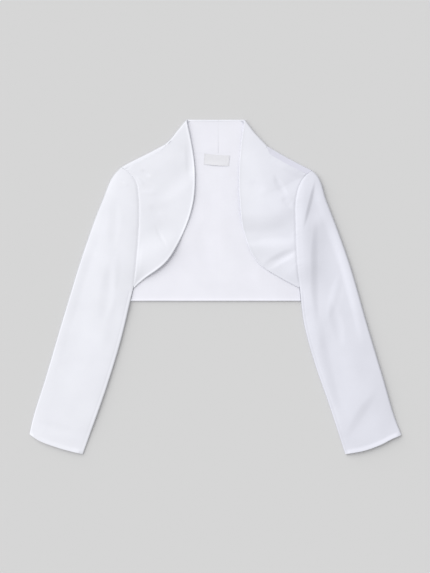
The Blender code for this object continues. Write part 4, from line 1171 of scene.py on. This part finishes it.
class BOLERO_OT_sleeves(Operator):
    """Make the two sleeves"""
    bl_idname = "bolero.sleeves"
    bl_label = "Sleeves"

    def execute(self, context):
        left, right, _ = sides()
        satin = shared_satin("duchess_satin_woven_and_pressed")
        for word, side in (("left", left), ("right", right)):
            points, thickness, numbers, cloth = sleeve_grid(side, context.scene.bolero_shape)
            name = f"sleeve_{word}_satin"
            sleeve = shell(name, points, thickness, side.outward > 0, satin, cloth, numbers)
            dress(sleeve, f"sleeve_{word}")
        return {"FINISHED"}


class BOLERO_OT_label(Operator):
    """Make the blank neck label and the stitches at its ends"""
    bl_idname = "bolero.label"
    bl_label = "Neck label"

    def execute(self, context):
        cloth = context.scene.bolero_cloth
        across, up = np.meshgrid(np.linspace(-0.5, 0.5, LABEL_COLUMNS), np.linspace(-0.5, 0.5, LABEL_ROWS))
        points = with_height(label_plan(across, up), label_height(across, up))
        ribbon = label_material("taffeta_ribbon_woven", cloth.label_colour)
        label = shell("neck_label_ribbon", points, LABEL_THICKNESS, False, ribbon)
        dress(label, "neck_label")
        across = np.repeat(STITCH_ENDS, STITCHES)
        up = np.tile(np.linspace(-STITCH_SPAN, STITCH_SPAN, STITCHES), 2)
        way = np.tile([-np.sin(LABEL_TURN), np.cos(LABEL_TURN)], (len(up), 1))
        sewn = stitches("neck_label_stitches", label_plan(across, up), way, label_height(across, up),
                        thread_material("polyester_thread_spun", cloth.thread_colour))
        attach(sewn, "root")
        return {"FINISHED"}


class BOLERO_OT_stage(Operator):
    """Make the floor, the light and the camera"""
    bl_idname = "bolero.stage"
    bl_label = "Floor, light and camera"

    def execute(self, context):
        stage = context.scene.bolero_stage
        mesh = bpy.data.meshes.new("floor")
        corners = [(x * FLOOR_HALF, y * FLOOR_HALF, -FLOOR_GAP) for x, y in
                   ((-1, -1), (1, -1), (1, 1), (-1, 1))]
        mesh.from_pydata(corners, [], [(0, 1, 2, 3)])
        mesh.materials.append(paper_material("background_paper_calendered", stage.floor_colour))
        floor = bpy.data.objects.new("floor", mesh)
        context.scene.collection.objects.link(floor)

        key = bpy.data.lights.new("key", "SUN")
        key.energy = stage.key_strength
        key.angle = stage.key_softness
        lamp = bpy.data.objects.new("key", key)
        level = np.cos(stage.key_elevation)
        towards = Vector((-level * np.sin(stage.key_heading), level * np.cos(stage.key_heading),
                          np.sin(stage.key_elevation)))
        lamp.rotation_euler = towards.to_track_quat("Z", "Y").to_euler()
        context.scene.collection.objects.link(lamp)

        world = bpy.data.worlds.new("studio")
        world.use_nodes = True
        world.node_tree.nodes["Background"].inputs["Strength"].default_value = stage.fill_strength
        world.node_tree.nodes["Background"].inputs["Color"].default_value = (1.0, 1.0, 1.0, 1.0)
        context.scene.world = world
        context.scene.view_settings.view_transform = "Standard"

        camera = bpy.data.cameras.new("camera")
        camera.lens = camera.sensor_width * stage.camera_height / stage.picture_height
        camera.clip_end = CAMERA_REACH
        eye = bpy.data.objects.new("camera", camera)
        eye.location = (*CAMERA_PLACE, stage.camera_height)
        context.scene.collection.objects.link(eye)
        context.scene.camera = eye
        return {"FINISHED"}


class BOLERO_PT_panel(Panel):
    """Sizes, colours and steps of the bolero"""
    bl_idname = "BOLERO_PT_panel"
    bl_label = "Satin bolero"
    bl_space_type = "VIEW_3D"
    bl_region_type = "UI"
    bl_category = "Bolero"

    def draw(self, context):
        for group in (context.scene.bolero_shape, context.scene.bolero_cloth, context.scene.bolero_stage):
            box = self.layout.box()
            for name in group.__annotations__:
                box.prop(group, name)
        for operator in OPERATORS:
            self.layout.operator(operator.bl_idname)


GROUPS = {"bolero_shape": BoleroShape, "bolero_cloth": BoleroCloth, "bolero_stage": BoleroStage}
OPERATORS = (BOLERO_OT_stage, BOLERO_OT_back, BOLERO_OT_fronts, BOLERO_OT_facings, BOLERO_OT_sleeves,
             BOLERO_OT_label)


def register():
    for group in GROUPS.values():
        bpy.utils.register_class(group)
    for name, group in GROUPS.items():
        setattr(bpy.types.Scene, name, PointerProperty(type=group))
    for operator in OPERATORS:
        bpy.utils.register_class(operator)
    bpy.utils.register_class(BOLERO_PT_panel)


def unregister():
    bpy.utils.unregister_class(BOLERO_PT_panel)
    for operator in reversed(OPERATORS):
        bpy.utils.unregister_class(operator)
    for name, group in GROUPS.items():
        delattr(bpy.types.Scene, name)
        bpy.utils.unregister_class(group)


def main():
    register()
    bpy.ops.bolero.stage()
    bpy.ops.bolero.back()
    bpy.ops.bolero.fronts()
    bpy.ops.bolero.facings()
    bpy.ops.bolero.sleeves()
    bpy.ops.bolero.label()


if __name__ == "__main__":
    main()
